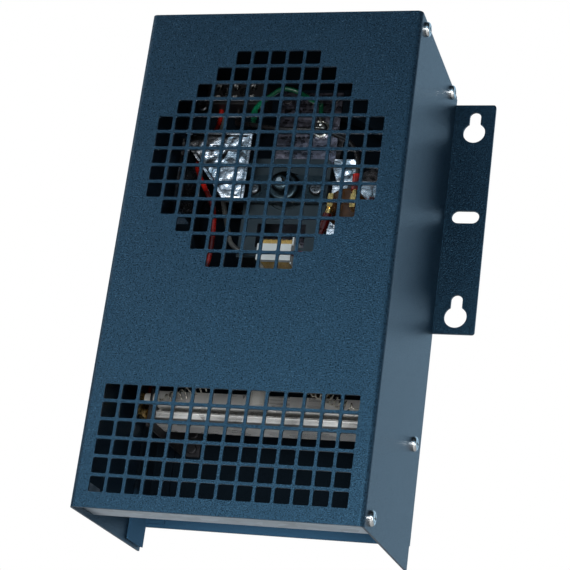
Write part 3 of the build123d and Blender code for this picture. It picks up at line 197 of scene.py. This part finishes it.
# a wide floor well below the heater, out of sight from the photo's camera
floorPlan = {
    "level": -0.46,
    "size": 14.0,
    "colour": (0.80, 0.80, 0.80, 1),
    "roughness": 0.9,
}


def makeFloor(setup):
    half = setup["size"] / 2
    level = setup["level"]
    mesh = bpy.data.meshes.new("paleFloor")
    corners = [(-half, -half, level), (half, -half, level), (half, half, level), (-half, half, level)]
    mesh.from_pydata(corners, [], [(0, 1, 2, 3)])
    floor = bpy.data.objects.new("paleFloor", mesh)
    bpy.context.scene.collection.objects.link(floor)
    paint, _, shader = startMaterial("paleFloor")
    shader.inputs["Base Color"].default_value = setup["colour"]
    shader.inputs["Roughness"].default_value = setup["roughness"]
    mesh.materials.append(paint)


def startMaterial(name):
    material = bpy.data.materials.new(name)
    material.use_nodes = True
    tree = material.node_tree
    return material, tree, tree.nodes["Principled BSDF"]


# every noise keeps this much of its finer detail, and most of its values lie in this range
noiseRoughness = 0.55
noiseRange = (0.3, 0.7)


def objectPlace(tree, scale=(1, 1, 1)):
    place = addNode(tree, "ShaderNodeTexCoord")
    mapping = addNode(tree, "ShaderNodeMapping", Scale=scale)
    tree.links.new(place.outputs["Object"], mapping.inputs["Vector"])
    return mapping.outputs["Vector"]


def noise(tree, place, scale, detail):
    texture = addNode(tree, "ShaderNodeTexNoise", Scale=scale, Detail=detail, Roughness=noiseRoughness)
    tree.links.new(place, texture.inputs["Vector"])
    return texture.outputs["Fac"]


def cells(tree, place, scale):
    texture = addNode(tree, "ShaderNodeTexVoronoi", Scale=scale)
    tree.links.new(place, texture.inputs["Vector"])
    pick = addNode(tree, "ShaderNodeSeparateColor")
    tree.links.new(texture.outputs["Color"], pick.inputs[0])
    return texture.outputs["Distance"], pick.outputs[0], pick.outputs[1]


def addBump(tree, shader, height, distance, strength, under=None):
    bump = addNode(tree, "ShaderNodeBump", Strength=strength, Distance=distance)
    tree.links.new(height, bump.inputs["Height"])
    if under:
        tree.links.new(under, bump.inputs["Normal"])
    tree.links.new(bump.outputs["Normal"], shader.inputs["Normal"])
    return bump.outputs["Normal"]


def shade(colour, factor):
    return tuple(min(1.0, c * factor) for c in colour[:3]) + (1,)


def grainRoughness(tree, texture, roughness, wear):
    return mapRange(tree, texture, *noiseRange, roughness - wear["smoother"], roughness + wear["rougher"])


def stainedColour(tree, place, wear, first, second):
    texture = noise(tree, place, wear["stainScale"], wear["stainDetail"])
    return mixColour(tree, mapRange(tree, texture, *wear["stainRange"], 0, 1), first, second)


# powder coat: a dark slate blue base, a fine pebbled skin and a few pale grains;
# the faces inside the casing get painted shade, a rougher skin and less gloss
coat = {
    "colour": (0.0045, 0.0100, 0.0170, 1),
    "tint": (0.22, 0.58, 0.94, 1),
    "gloss": 0.5,
    "insideGloss": 0.12,
    "ior": 1.58,
    "roughness": 0.31,
    "smoother": 0.06,
    "rougher": 0.10,
    "grain": 1500.0,  # pebbles per metre
    "grainDetail": 2,
    "grainHeight": 0.00032,
    "grainRange": (0.35, 0.65),
    "grainSpread": 0.42,  # how much the pebbles change the base colour and the gloss
    "grainBump": 0.75,
    "pitPaintedShade": 0.2,  # painted shade: the darker base colour in the hollows between the pebbles
    "swellTimes": 4,  # how much wider than a pebble the slow swells under them are
    "swellDetail": 1,
    "swellBump": 0.10,
    "speck": 1300.0,
    "speckShare": 0.12,
    "speckStrength": 0.9,
    "speckSize": 0.45,  # as a share of the distance between two grains
    "speckColour": (0.07, 0.13, 0.18, 1),
    "waviness": 22.0,
    "cloudDetail": 4,
    "cloudShades": (0.85, 1.15),
    # painted shade: the dark colour given to the faces inside the casing
    "insidePaintedShade": (0.0030, 0.0045, 0.0065, 1),
    "insideRoughness": 0.85,
    "insideHalfWidth": 0.0737,  # faces farther from the middle are outside
    "insideFace": 0.0497,  # faces farther back are outside
    "insideTop": 0.0004,  # how far under the plate's highest face the dull part ends
    "footPaintedLight": (0.035, 0.095, 0.17, 1),  # painted light: a paler navy on the inner faces' lower end, near the open bottom, up to footTop
    "footTop": 0.030,
}


def powderCoat(name, look, inside=False):
    material, tree, shader = startMaterial(name)
    place = objectPlace(tree)
    shader.inputs["IOR"].default_value = look["ior"]
    shader.inputs["Specular Tint"].default_value = look["tint"]
    cloudy = mapRange(tree, noise(tree, place, look["waviness"], look["cloudDetail"]), *noiseRange, 0, 1)
    base = mixColour(tree, cloudy, *(shade(look["colour"], factor) for factor in look["cloudShades"]))
    pebbles = noise(tree, place, look["grain"], look["grainDetail"])
    # painted shade: where the pebbled skin dips, the base colour darkens
    pitPaintedShadeShare = mapRange(tree, pebbles, *look["grainRange"], look["grainSpread"], 0)
    base = mixColour(tree, pitPaintedShadeShare, base, shade(look["colour"], look["pitPaintedShade"]))
    distance, pick, _ = cells(tree, place, look["speck"])
    chosen = mapRange(tree, pick, 1 - look["speckShare"], 1, 0, look["speckStrength"])
    grains = combine(tree, "MULTIPLY", chosen, mapRange(tree, distance, 0, look["speckSize"], 1, 0))
    colour = mixColour(tree, grains, base, look["speckColour"])
    rough = grainRoughness(tree, pebbles, look["roughness"], look)
    gloss = mapRange(tree, pebbles, *look["grainRange"], look["gloss"] * (1 - look["grainSpread"]),
                     look["gloss"] * (1 + look["grainSpread"]))
    if inside:
        where = addNode(tree, "ShaderNodeSeparateXYZ")
        tree.links.new(place, where.inputs[0])
        across = combine(tree, "ABSOLUTE", where.outputs["X"], 0.0)
        within = combine(tree, "LESS_THAN", across, look["insideHalfWidth"])
        ahead = combine(tree, "LESS_THAN", where.outputs["Y"], look["insideFace"])
        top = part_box("back_plate")[1][2] - look["insideTop"]
        below = combine(tree, "LESS_THAN", where.outputs["Z"], top)
        # painted shade: faces inside the casing (within the inner half width, ahead of the back face and below
        # the plate's top) take a dark colour, and also a rougher skin and less gloss
        paintedShadeInside = combine(tree, "MULTIPLY", combine(tree, "MULTIPLY", within, ahead), below)
        # painted light: towards their lower end the inside faces blend from the painted shade to a paler navy
        foot = mapRange(tree, where.outputs["Z"], look["footTop"] / 2, look["footTop"], 1, 0)
        dark = mixColour(tree, foot, look["insidePaintedShade"], look["footPaintedLight"])
        colour = mixColour(tree, paintedShadeInside, colour, dark)
        rough = mixNumber(tree, paintedShadeInside, rough, look["insideRoughness"])
        gloss = mixNumber(tree, paintedShadeInside, gloss, look["insideGloss"])
    tree.links.new(gloss, shader.inputs["Specular IOR Level"])
    tree.links.new(colour, shader.inputs["Base Color"])
    tree.links.new(rough, shader.inputs["Roughness"])
    swell = noise(tree, place, look["grain"] / look["swellTimes"], look["swellDetail"])
    under = addBump(tree, shader, swell, look["grainHeight"], look["swellBump"])
    addBump(tree, shader, pebbles, look["grainHeight"], look["grainBump"], under)
    return material


# sheet metal: zinc spangle or a bright plated skin, with scratches along the rolling direction
sheet = {
    "railSheet": {"colour": (0.48, 0.56, 0.63, 1), "roughness": 0.34, "spangle": 160.0,
                  "spread": 0.12, "dents": 0.00004, "grime": 0.25},
    "strapSheet": {"colour": (0.17, 0.17, 0.215, 1), "roughness": 0.26, "spangle": 420.0,
                   "spread": 0.45, "dents": 0.00022, "grime": 0.8},
    "elementSheet": {"colour": (0.84, 0.84, 0.82, 1), "roughness": 0.28, "spangle": 120.0,
                     "spread": 0.12, "dents": 0.00010, "grime": 0.75, "metallic": 0.68,
                     # where the painted shade band on the tray's front lip ends, upwards and backwards
                     "paintedShadeTop": 0.0612, "paintedShadeFront": -0.0012},
    "endSheet": {"colour": (0.050, 0.050, 0.055, 1), "roughness": 0.50, "spangle": 120.0,
                 "spread": 0.25, "dents": 0.00008, "grime": 0.6},
    "brightSheet": {"colour": (0.82, 0.84, 0.88, 1), "roughness": 0.14, "spangle": 90.0,
                    "spread": 0.10, "dents": 0.00025, "grime": 0.5},
}
sheetWear = {
    "grimeScale": 35.0,
    "grimeDetail": 6,
    "grimeRange": (0.45, 0.75),
    "grimeShade": 0.40,
    # how the painted shade band on the tray's lip fades in, how much of it is painted and how dark
    "paintedShadeFade": 0.0006,
    "paintedShadeShare": 0.93,
    "paintedShadeFactor": 0.02,
    "scratchScale": (30, 900, 900),
    "scratchDetail": 3,
    "scratchRoughness": 0.14,
    "scratchBump": 0.35,
    "smoother": 0.08,
    "rougher": 0.06,
    "dentScale": 60.0,
    "dentDetail": 3,
    "dentTimes": 8,  # how many times deeper a dent is than a scratch
    "dentBump": 0.6,
}


def sheetMetal(name, look, wear):
    material, tree, shader = startMaterial(name)
    shader.inputs["Metallic"].default_value = look.get("metallic", 1.0)
    place = objectPlace(tree)
    _, pick, other = cells(tree, place, look["spangle"])
    low, high = shade(look["colour"], 1 - look["spread"]), shade(look["colour"], 1 + look["spread"])
    colour = mixColour(tree, pick, low, high)
    smudges = noise(tree, place, wear["grimeScale"], wear["grimeDetail"])
    grime = mapRange(tree, smudges, *wear["grimeRange"], 0, look["grime"])
    colour = mixColour(tree, grime, colour, shade(look["colour"], wear["grimeShade"]))
    if "paintedShadeTop" in look:
        # painted shade: a dark band along the foot of the tray's front lip
        where = addNode(tree, "ShaderNodeSeparateXYZ")
        tree.links.new(place, where.inputs[0])
        below = mapRange(tree, where.outputs["Z"], look["paintedShadeTop"] - wear["paintedShadeFade"],
                         look["paintedShadeTop"], wear["paintedShadeShare"], 0)
        ahead = combine(tree, "LESS_THAN", where.outputs["Y"], look["paintedShadeFront"])
        paintedShadeBand = combine(tree, "MULTIPLY", below, ahead)
        colour = mixColour(tree, paintedShadeBand, colour, shade(look["colour"], wear["paintedShadeFactor"]))
    tree.links.new(colour, shader.inputs["Base Color"])
    scratches = noise(tree, objectPlace(tree, wear["scratchScale"]), 1.0, wear["scratchDetail"])
    spread = mapRange(tree, other, 0, 1, look["roughness"] - wear["smoother"],
                      look["roughness"] + wear["rougher"])
    scratched = mapRange(tree, scratches, *noiseRange, 0, wear["scratchRoughness"])
    tree.links.new(combine(tree, "ADD", spread, scratched), shader.inputs["Roughness"])
    dents = noise(tree, place, wear["dentScale"], wear["dentDetail"])
    under = addBump(tree, shader, dents, look["dents"] * wear["dentTimes"], wear["dentBump"])
    addBump(tree, shader, scratches, look["dents"], wear["scratchBump"], under)
    return material


# turned, cast and drawn metals
metal = {
    "zincPlate": {"colour": (0.66, 0.68, 0.68, 1), "roughness": 0.18, "grain": 900.0, "height": 0.00003},
    "darkZinc": {"colour": (0.10, 0.11, 0.12, 1), "roughness": 0.30, "grain": 900.0, "height": 0.00003},
    "rivet": {"colour": (0.05, 0.05, 0.055, 1), "roughness": 0.46, "grain": 700.0, "height": 0.00003},
    "groundSteel": {"colour": (0.72, 0.72, 0.71, 1), "roughness": 0.14, "grain": 1500.0, "height": 0.00001},
    "dieCast": {"colour": (0.026, 0.040, 0.048, 1), "roughness": 0.30, "grain": 500.0, "height": 0.00008},
    "rolledAluminium": {"colour": (0.72, 0.74, 0.80, 1), "roughness": 0.18, "grain": 300.0, "height": 0.00004},
    "brightCap": {"colour": (0.86, 0.86, 0.86, 1), "roughness": 0.12, "grain": 260.0, "height": 0.00003},
    "brass": {"colour": (0.66, 0.46, 0.17, 1), "roughness": 0.22, "grain": 420.0, "height": 0.00003},
    "tinnedBrass": {"colour": (0.80, 0.80, 0.76, 1), "roughness": 0.18, "grain": 420.0, "height": 0.00003},
    "bronze": {"colour": (0.42, 0.25, 0.11, 1), "roughness": 0.45, "grain": 900.0, "height": 0.00004},
    "resistanceWire": {"colour": (0.50, 0.48, 0.42, 1), "roughness": 0.26, "grain": 500.0, "height": 0.00002},
}
metalWear = {
    "stainScale": 90.0,
    "stainDetail": 5,
    "stainRange": (0.35, 0.75),
    "shades": (1.08, 0.72),
    "grainDetail": 3,
    "smoother": 0.06,
    "rougher": 0.10,
    "bump": 0.7,
    "metallic": 1.0,
}


def stainedSkin(name, look, wear):
    material, tree, shader = startMaterial(name)
    shader.inputs["Metallic"].default_value = wear["metallic"]
    place = objectPlace(tree)
    first, second = (shade(look["colour"], factor) for factor in wear["shades"])
    tree.links.new(stainedColour(tree, place, wear, first, second), shader.inputs["Base Color"])
    grain = noise(tree, place, look["grain"], wear["grainDetail"])
    tree.links.new(grainRoughness(tree, grain, look["roughness"], wear), shader.inputs["Roughness"])
    addBump(tree, shader, grain, look["height"], wear["bump"])
    return material


# the stack of thin sheets in the motor, seen as fine lines across its depth
laminations = {
    "colour": (0.022, 0.032, 0.038, 1),
    "shades": (0.6, 1.35),
    "metallic": 0.85,
    "pitch": 0.0005,
    "wander": 0.4,
    "height": 0.00012,
    "bump": 0.5,
    "roughness": 0.36,
    "smoother": 0.08,
    "rougher": 0.14,
    "stainScale": 120.0,
    "stainDetail": 4,
}


def laminatedSteel(name, look):
    material, tree, shader = startMaterial(name)
    shader.inputs["Metallic"].default_value = look["metallic"]
    place = objectPlace(tree)
    # at scale 1 this texture repeats every tenth of pi metres
    scale = math.pi / (10 * look["pitch"])
    lines = addNode(tree, "ShaderNodeTexWave", {"wave_type": "BANDS", "bands_direction": "Y"},
                    Scale=scale, Distortion=look["wander"], Detail=1.0)
    tree.links.new(place, lines.inputs["Vector"])
    first, second = (shade(look["colour"], factor) for factor in look["shades"])
    colour = mixColour(tree, lines.outputs["Fac"], first, second)
    tree.links.new(colour, shader.inputs["Base Color"])
    stain = noise(tree, place, look["stainScale"], look["stainDetail"])
    tree.links.new(grainRoughness(tree, stain, look["roughness"], look), shader.inputs["Roughness"])
    addBump(tree, shader, lines.outputs["Fac"], look["height"], look["bump"])
    return material


# mouldings, ceramic and insulation
moulding = {
    "whiteMoulding": {"colour": (0.62, 0.70, 0.72, 1), "roughness": 0.36, "mottle": 0.06,
                      "soot": 0.25, "grain": 700.0, "height": 0.00003},
    "blackMoulding": {"colour": (0.008, 0.008, 0.009, 1), "roughness": 0.40, "mottle": 0.30,
                      "soot": 0.20, "grain": 800.0, "height": 0.00004},
    "amberMoulding": {"colour": (0.040, 0.017, 0.004, 1), "roughness": 0.10, "mottle": 0.45,
                      "soot": 0.70, "grain": 350.0, "height": 0.00006},
    "brownMoulding": {"colour": (0.045, 0.020, 0.011, 1), "roughness": 0.30, "mottle": 0.25,
                      "soot": 0.50, "grain": 500.0, "height": 0.00003},
    "ceramic": {"colour": (0.74, 0.74, 0.70, 1), "roughness": 0.50, "mottle": 0.08,
                "soot": 0.35, "grain": 900.0, "height": 0.00005},
    "redInsulation": {"colour": (0.36, 0.012, 0.008, 1), "roughness": 0.20, "mottle": 0.15,
                      "soot": 0.92, "grain": 400.0, "height": 0.00004},
    "greenInsulation": {"colour": (0.006, 0.24, 0.11, 1), "roughness": 0.24, "mottle": 0.12,
                        "soot": 0.85, "grain": 400.0, "height": 0.00004},
    "blackInsulation": {"colour": (0.008, 0.008, 0.009, 1), "roughness": 0.28, "mottle": 0.20,
                        "soot": 0.20, "grain": 400.0, "height": 0.00004},
    "greyInsulation": {"colour": (0.10, 0.11, 0.11, 1), "roughness": 0.30, "mottle": 0.12,
                       "soot": 0.60, "grain": 400.0, "height": 0.00004},
}
mouldingWear = {
    "stainScale": 140.0,
    "stainDetail": 5,
    "stainRange": noiseRange,
    "sootScale": 45.0,
    "sootDetail": 3,
    "sootRange": (0.38, 0.50),
    "sootShade": 0.04,
    "grainDetail": 2,
    "smoother": 0.05,
    "rougher": 0.09,
    "bump": 0.6,
}


def moulded(name, look, wear):
    material, tree, shader = startMaterial(name)
    place = objectPlace(tree)
    low, high = shade(look["colour"], 1 - look["mottle"]), shade(look["colour"], 1 + look["mottle"])
    smudges = noise(tree, place, wear["sootScale"], wear["sootDetail"])
    soot = mapRange(tree, smudges, *wear["sootRange"], 0, look["soot"])
    clean = stainedColour(tree, place, wear, low, high)
    colour = mixColour(tree, soot, clean, shade(look["colour"], wear["sootShade"]))
    tree.links.new(colour, shader.inputs["Base Color"])
    grain = noise(tree, place, look["grain"], wear["grainDetail"])
    tree.links.new(grainRoughness(tree, grain, look["roughness"], wear), shader.inputs["Roughness"])
    addBump(tree, shader, grain, look["height"], wear["bump"])
    return material


# the yellow-brown tape round the motor's winding
tape = {"colour": (0.42, 0.30, 0.10, 1), "roughness": 0.28, "grain": 1400.0, "height": 0.00005}
tapeWear = {
    "stainScale": 160.0,
    "stainDetail": 4,
    "stainRange": (0.3, 0.75),
    "shades": (1.15, 0.62),
    "grainDetail": 2,
    "smoother": 0.06,
    "rougher": 0.12,
    "bump": 0.6,
    "metallic": 0.0,
}


# which finish each CAD node takes
finishes = {
    "coverCoat": ["cover"],
    "plateCoat": ["back_plate", "side_angle_left", "side_angle_right", "fan_plate", "fan_collar"],
    "railSheet": ["bottom_rail"],
    "strapSheet": ["motor_strap"],
    "elementSheet": ["element_tray", "element_shield"],
    "endSheet": ["element_bracket_left", "element_bracket_right"],
    "brightSheet": ["control_bracket", "thermostat_bracket"],
    "zincPlate": ["cover_screws", "ground_screw", "terminal_screws"],
    "darkZinc": ["standoff_screws", "fan_standoffs", "motor_screws", "motor_spacers", "motor_nuts"],
    "rivet": ["wall_rivets", "bracket_rivets"],
    "laminations": ["motor_core", "rotor_core"],
    "dieCast": ["motor_front_bracket", "motor_rear_bracket"],
    "bronze": ["motor_bearings"],
    "groundSteel": ["fan_shaft", "impeller_clip"],
    "rolledAluminium": ["fan_impeller"],
    "brightCap": ["thermostat_cap", "limit_body"],
    "brass": ["thermostat_spades", "spade_receptacles", "bus_bars", "limit_studs"],
    "tinnedBrass": ["ground_ring"],
    "resistanceWire": ["heater_coil_front", "heater_coil_rear", "heater_coils_upper"],
    "ceramic": ["element_bushings", "coil_post"],
    "whiteMoulding": ["motor_bobbin", "lead_splice"],
    "blackMoulding": ["terminal_block", "inlet_bushing"],
    "amberMoulding": ["thermostat_body"],
    "brownMoulding": ["limit_cap"],
    "redInsulation": ["spade_sleeves", "return_lead", "load_lead", "motor_load_lead", "limit_lead",
                      "element_lead"],
    "greenInsulation": ["ground_lead"],
    "blackInsulation": ["feed_lead"],
    "greyInsulation": ["motor_neutral_lead"],
    "tape": ["motor_winding"],
}


def makeFinish(name):
    if name in ("coverCoat", "plateCoat"):
        return powderCoat(name, coat, inside=name == "plateCoat")
    if name in sheet:
        return sheetMetal(name, sheet[name], sheetWear)
    if name in metal:
        return stainedSkin(name, metal[name], metalWear)
    if name == "laminations":
        return laminatedSteel(name, laminations)
    if name == "tape":
        return stainedSkin(name, tape, tapeWear)
    return moulded(name, moulding[name], mouldingWear)


def dress(nodeNames, material):
    for nodeName in nodeNames:
        mesh = nodes[nodeName].data
        mesh.materials.clear()
        mesh.materials.append(material)


seamGap = 1e-6


# a skin from a grid of points, closed across its rows and, where asked, from its last row to its first
def makePiece(name, grid, material, closedAlong=False):
    rows, columns = grid.shape[:2]
    index = np.arange(rows * columns).reshape(rows, columns)
    if closedAlong:
        index = np.vstack([index, index[:1]])
    index = np.hstack([index, index[:, :1]])
    quads = np.stack([index[:-1, :-1], index[1:, :-1], index[1:, 1:], index[:-1, 1:]], axis=-1)
    mesh = bpy.data.meshes.new(name)
    mesh.from_pydata(grid.reshape(-1, 3).tolist(), [], quads.reshape(-1, 4).tolist())
    # points closer than seamGap become one, and every face is turned outwards
    shell = bmesh.new()
    shell.from_mesh(mesh)
    bmesh.ops.remove_doubles(shell, verts=shell.verts, dist=seamGap)
    bmesh.ops.recalc_face_normals(shell, faces=shell.faces)
    shell.to_mesh(mesh)
    shell.free()
    mesh.polygons.foreach_set("use_smooth", np.ones(len(mesh.polygons), dtype=bool))
    mesh.materials.append(material)
    mesh.update()
    piece = bpy.data.objects.new(name, mesh)
    bpy.context.scene.collection.objects.link(piece)
    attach(piece, "casing")
    return piece


# tape wound round the motor's coil in turns that lie over each other
windingTape = {
    "turns": 6,
    "lap": 0.00045,  # how far each turn stands over the next
    "skew": 0.35,  # how far a turn slips along the coil on its way round, in turns
    "corner": 0.22,  # the smaller, the sharper the section's corners
    "endRound": 0.0011,
    "wall": 0.0026,
    "around": 120,
    "along": 90,
    "alongInside": 8,
}


def makeWindingTape(look, material):
    low, high = (np.array(corner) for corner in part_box("motor_winding"))
    middle, half = (low + high) / 2, (high - low) / 2
    # section: a rounded rectangle, where cosine and sine of the angle are raised to a small power;
    # profile: out along one end, over the outside, in along the other end and back on the inside
    angle = np.linspace(0, 2 * np.pi, look["around"], endpoint=False)
    sectionY = np.sign(np.cos(angle)) * np.abs(np.cos(angle)) ** look["corner"]
    sectionZ = np.sign(np.sin(angle)) * np.abs(np.sin(angle)) ** look["corner"]
    out = np.linspace(0, 1, look["along"])
    home = np.linspace(1, 0, look["alongInside"])
    ease = look["endRound"]
    edge = np.minimum(out, 1 - out) * 2 * half[0]
    drop = ease - np.sqrt(np.maximum(ease ** 2 - np.maximum(ease - edge, 0) ** 2, 0))
    phase = out[:, None] * look["turns"] + look["skew"] * angle[None, :] / (2 * np.pi)
    lap = look["lap"] * (phase % 1) * np.minimum(edge / ease, 1)[:, None]
    outer = look["lap"] + drop[:, None] - lap
    inner = np.full((look["alongInside"], look["around"]), look["wall"])
    depth = np.vstack([outer, inner])
    x = low[0] + np.concatenate([out, home]) * (high[0] - low[0])
    grid = np.empty(depth.shape + (3,))
    grid[..., 0] = x[:, None]
    grid[..., 1] = middle[1] + sectionY[None, :] * (half[1] - depth)
    grid[..., 2] = middle[2] + sectionZ[None, :] * (half[2] - depth)
    piece = makePiece("windingTape", grid, material, closedAlong=True)
    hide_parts("motor_winding")


# crinkled bright foil: a sheet laid on the control bracket's panel, and a tab that stands up
# from the thermostat's bracket; left, right, low and high are set in from the bracket's box, or
# past it where they are negative, and cutWidth and cutHeight slant the left edge's lower end
foils = {
    "controlFoil": {"node": "control_bracket", "left": 0.0100, "right": 0.0012, "low": 0.0012,
                    "high": 0.0012, "cutWidth": 0.0305, "cutHeight": 0.0376},
    "thermostatFoil": {"node": "thermostat_bracket", "left": -0.0010, "right": 0.0300, "low": 0.0372,
                       "high": -0.0130, "cutWidth": 0.0030, "cutHeight": 0.0080},
}
crinkle = {
    "rise": 0.0009,
    "edge": 0.0003,
    "creases": 9,
    "reach": (90.0, 260.0),  # creases per metre, coarse and fine
    "bends": (60.0, 160.0),
    "bendDepth": 0.25,
    "seed": 11,
    "rows": 110,
    "columns": 110,
    "rim": 4,  # rows over which the creases die out at the edge
}


def makeFoil(name, shape, look, material):
    low, high = (np.array(corner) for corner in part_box(shape["node"]))
    face = low[1]
    bottom, top = low[2] + shape["low"], high[2] - shape["high"]
    up = np.linspace(0, 1, look["rows"])[:, None]
    over = np.linspace(0, 1, look["columns"])[None, :]
    z = bottom + up * (top - bottom)
    # the left edge follows the panel's slanted corner, the right edge stands upright
    slant = np.clip(1 - (z - bottom) / shape["cutHeight"], 0, 1) * shape["cutWidth"]
    left = low[0] + shape["left"] + slant
    x = left + over * (high[0] - shape["right"] - left)
    z = np.broadcast_to(z, x.shape)
    # height: the sum of folded plane waves at random angles, each the distance to its nearest crease,
    # where a finer wave counts for less
    dice = np.random.default_rng(look["seed"])
    height = np.zeros_like(x)
    total = 0.0
    for _ in range(look["creases"]):
        angle = dice.uniform(0, np.pi)
        count = dice.uniform(*look["reach"])
        bend = np.sin(dice.uniform(*look["bends"]) * (x * np.sin(angle) + z * np.cos(angle)))
        wave = (x * np.cos(angle) - z * np.sin(angle)) * count + dice.uniform(0, 1)
        wave += look["bendDepth"] * bend
        weight = look["reach"][0] / count
        height += np.abs((wave % 1) - 0.5) * weight
        total += weight
    height = height / total * 2
    rim = np.minimum(np.minimum(up, 1 - up) * look["rows"], np.minimum(over, 1 - over) * look["columns"])
    lift = look["edge"] + look["rise"] * height * np.clip(rim / look["rim"], 0, 1)
    front = np.stack([x, face - lift, z], axis=-1)
    back = np.stack([x, np.full_like(x, face), z], axis=-1)
    # the back sheet is turned round and joined to the front one along both upright edges
    grid = np.concatenate([front, back[:, ::-1]], axis=1)
    grid = np.concatenate([flatEnd(grid[:1]), grid, flatEnd(grid[-1:])])
    makePiece(name, grid, material)


def flatEnd(ring):
    # an end is closed by a ring whose front half is folded down on its back half
    half = ring.shape[1] // 2
    folded = ring.copy()
    folded[:, :half] = ring[:, :half - 1:-1]
    return folded


makeCamera(view)
makeLamps(lamps, lampTarget)
makeRoom(room)
makeFloor(floorPlan)
print("camera, lamps and room are up")

skins = {name: makeFinish(name) for name in finishes}
for finishName, nodeNames in finishes.items():
    dress(nodeNames, skins[finishName])
bare = sorted(set(nodes) - {n for names in finishes.values() for n in names})
print("finishes on", len(nodes) - len(bare), "nodes, bare:", bare)

makeWindingTape(windingTape, skins["tape"])
print("wound the tape on the motor")
for foilName, shape in foils.items():
    makeFoil(foilName, shape, crinkle, skins["brightSheet"])
print("laid", len(foils), "crinkled foils on their brackets")

bpy.context.scene.view_settings.view_transform = "Standard"
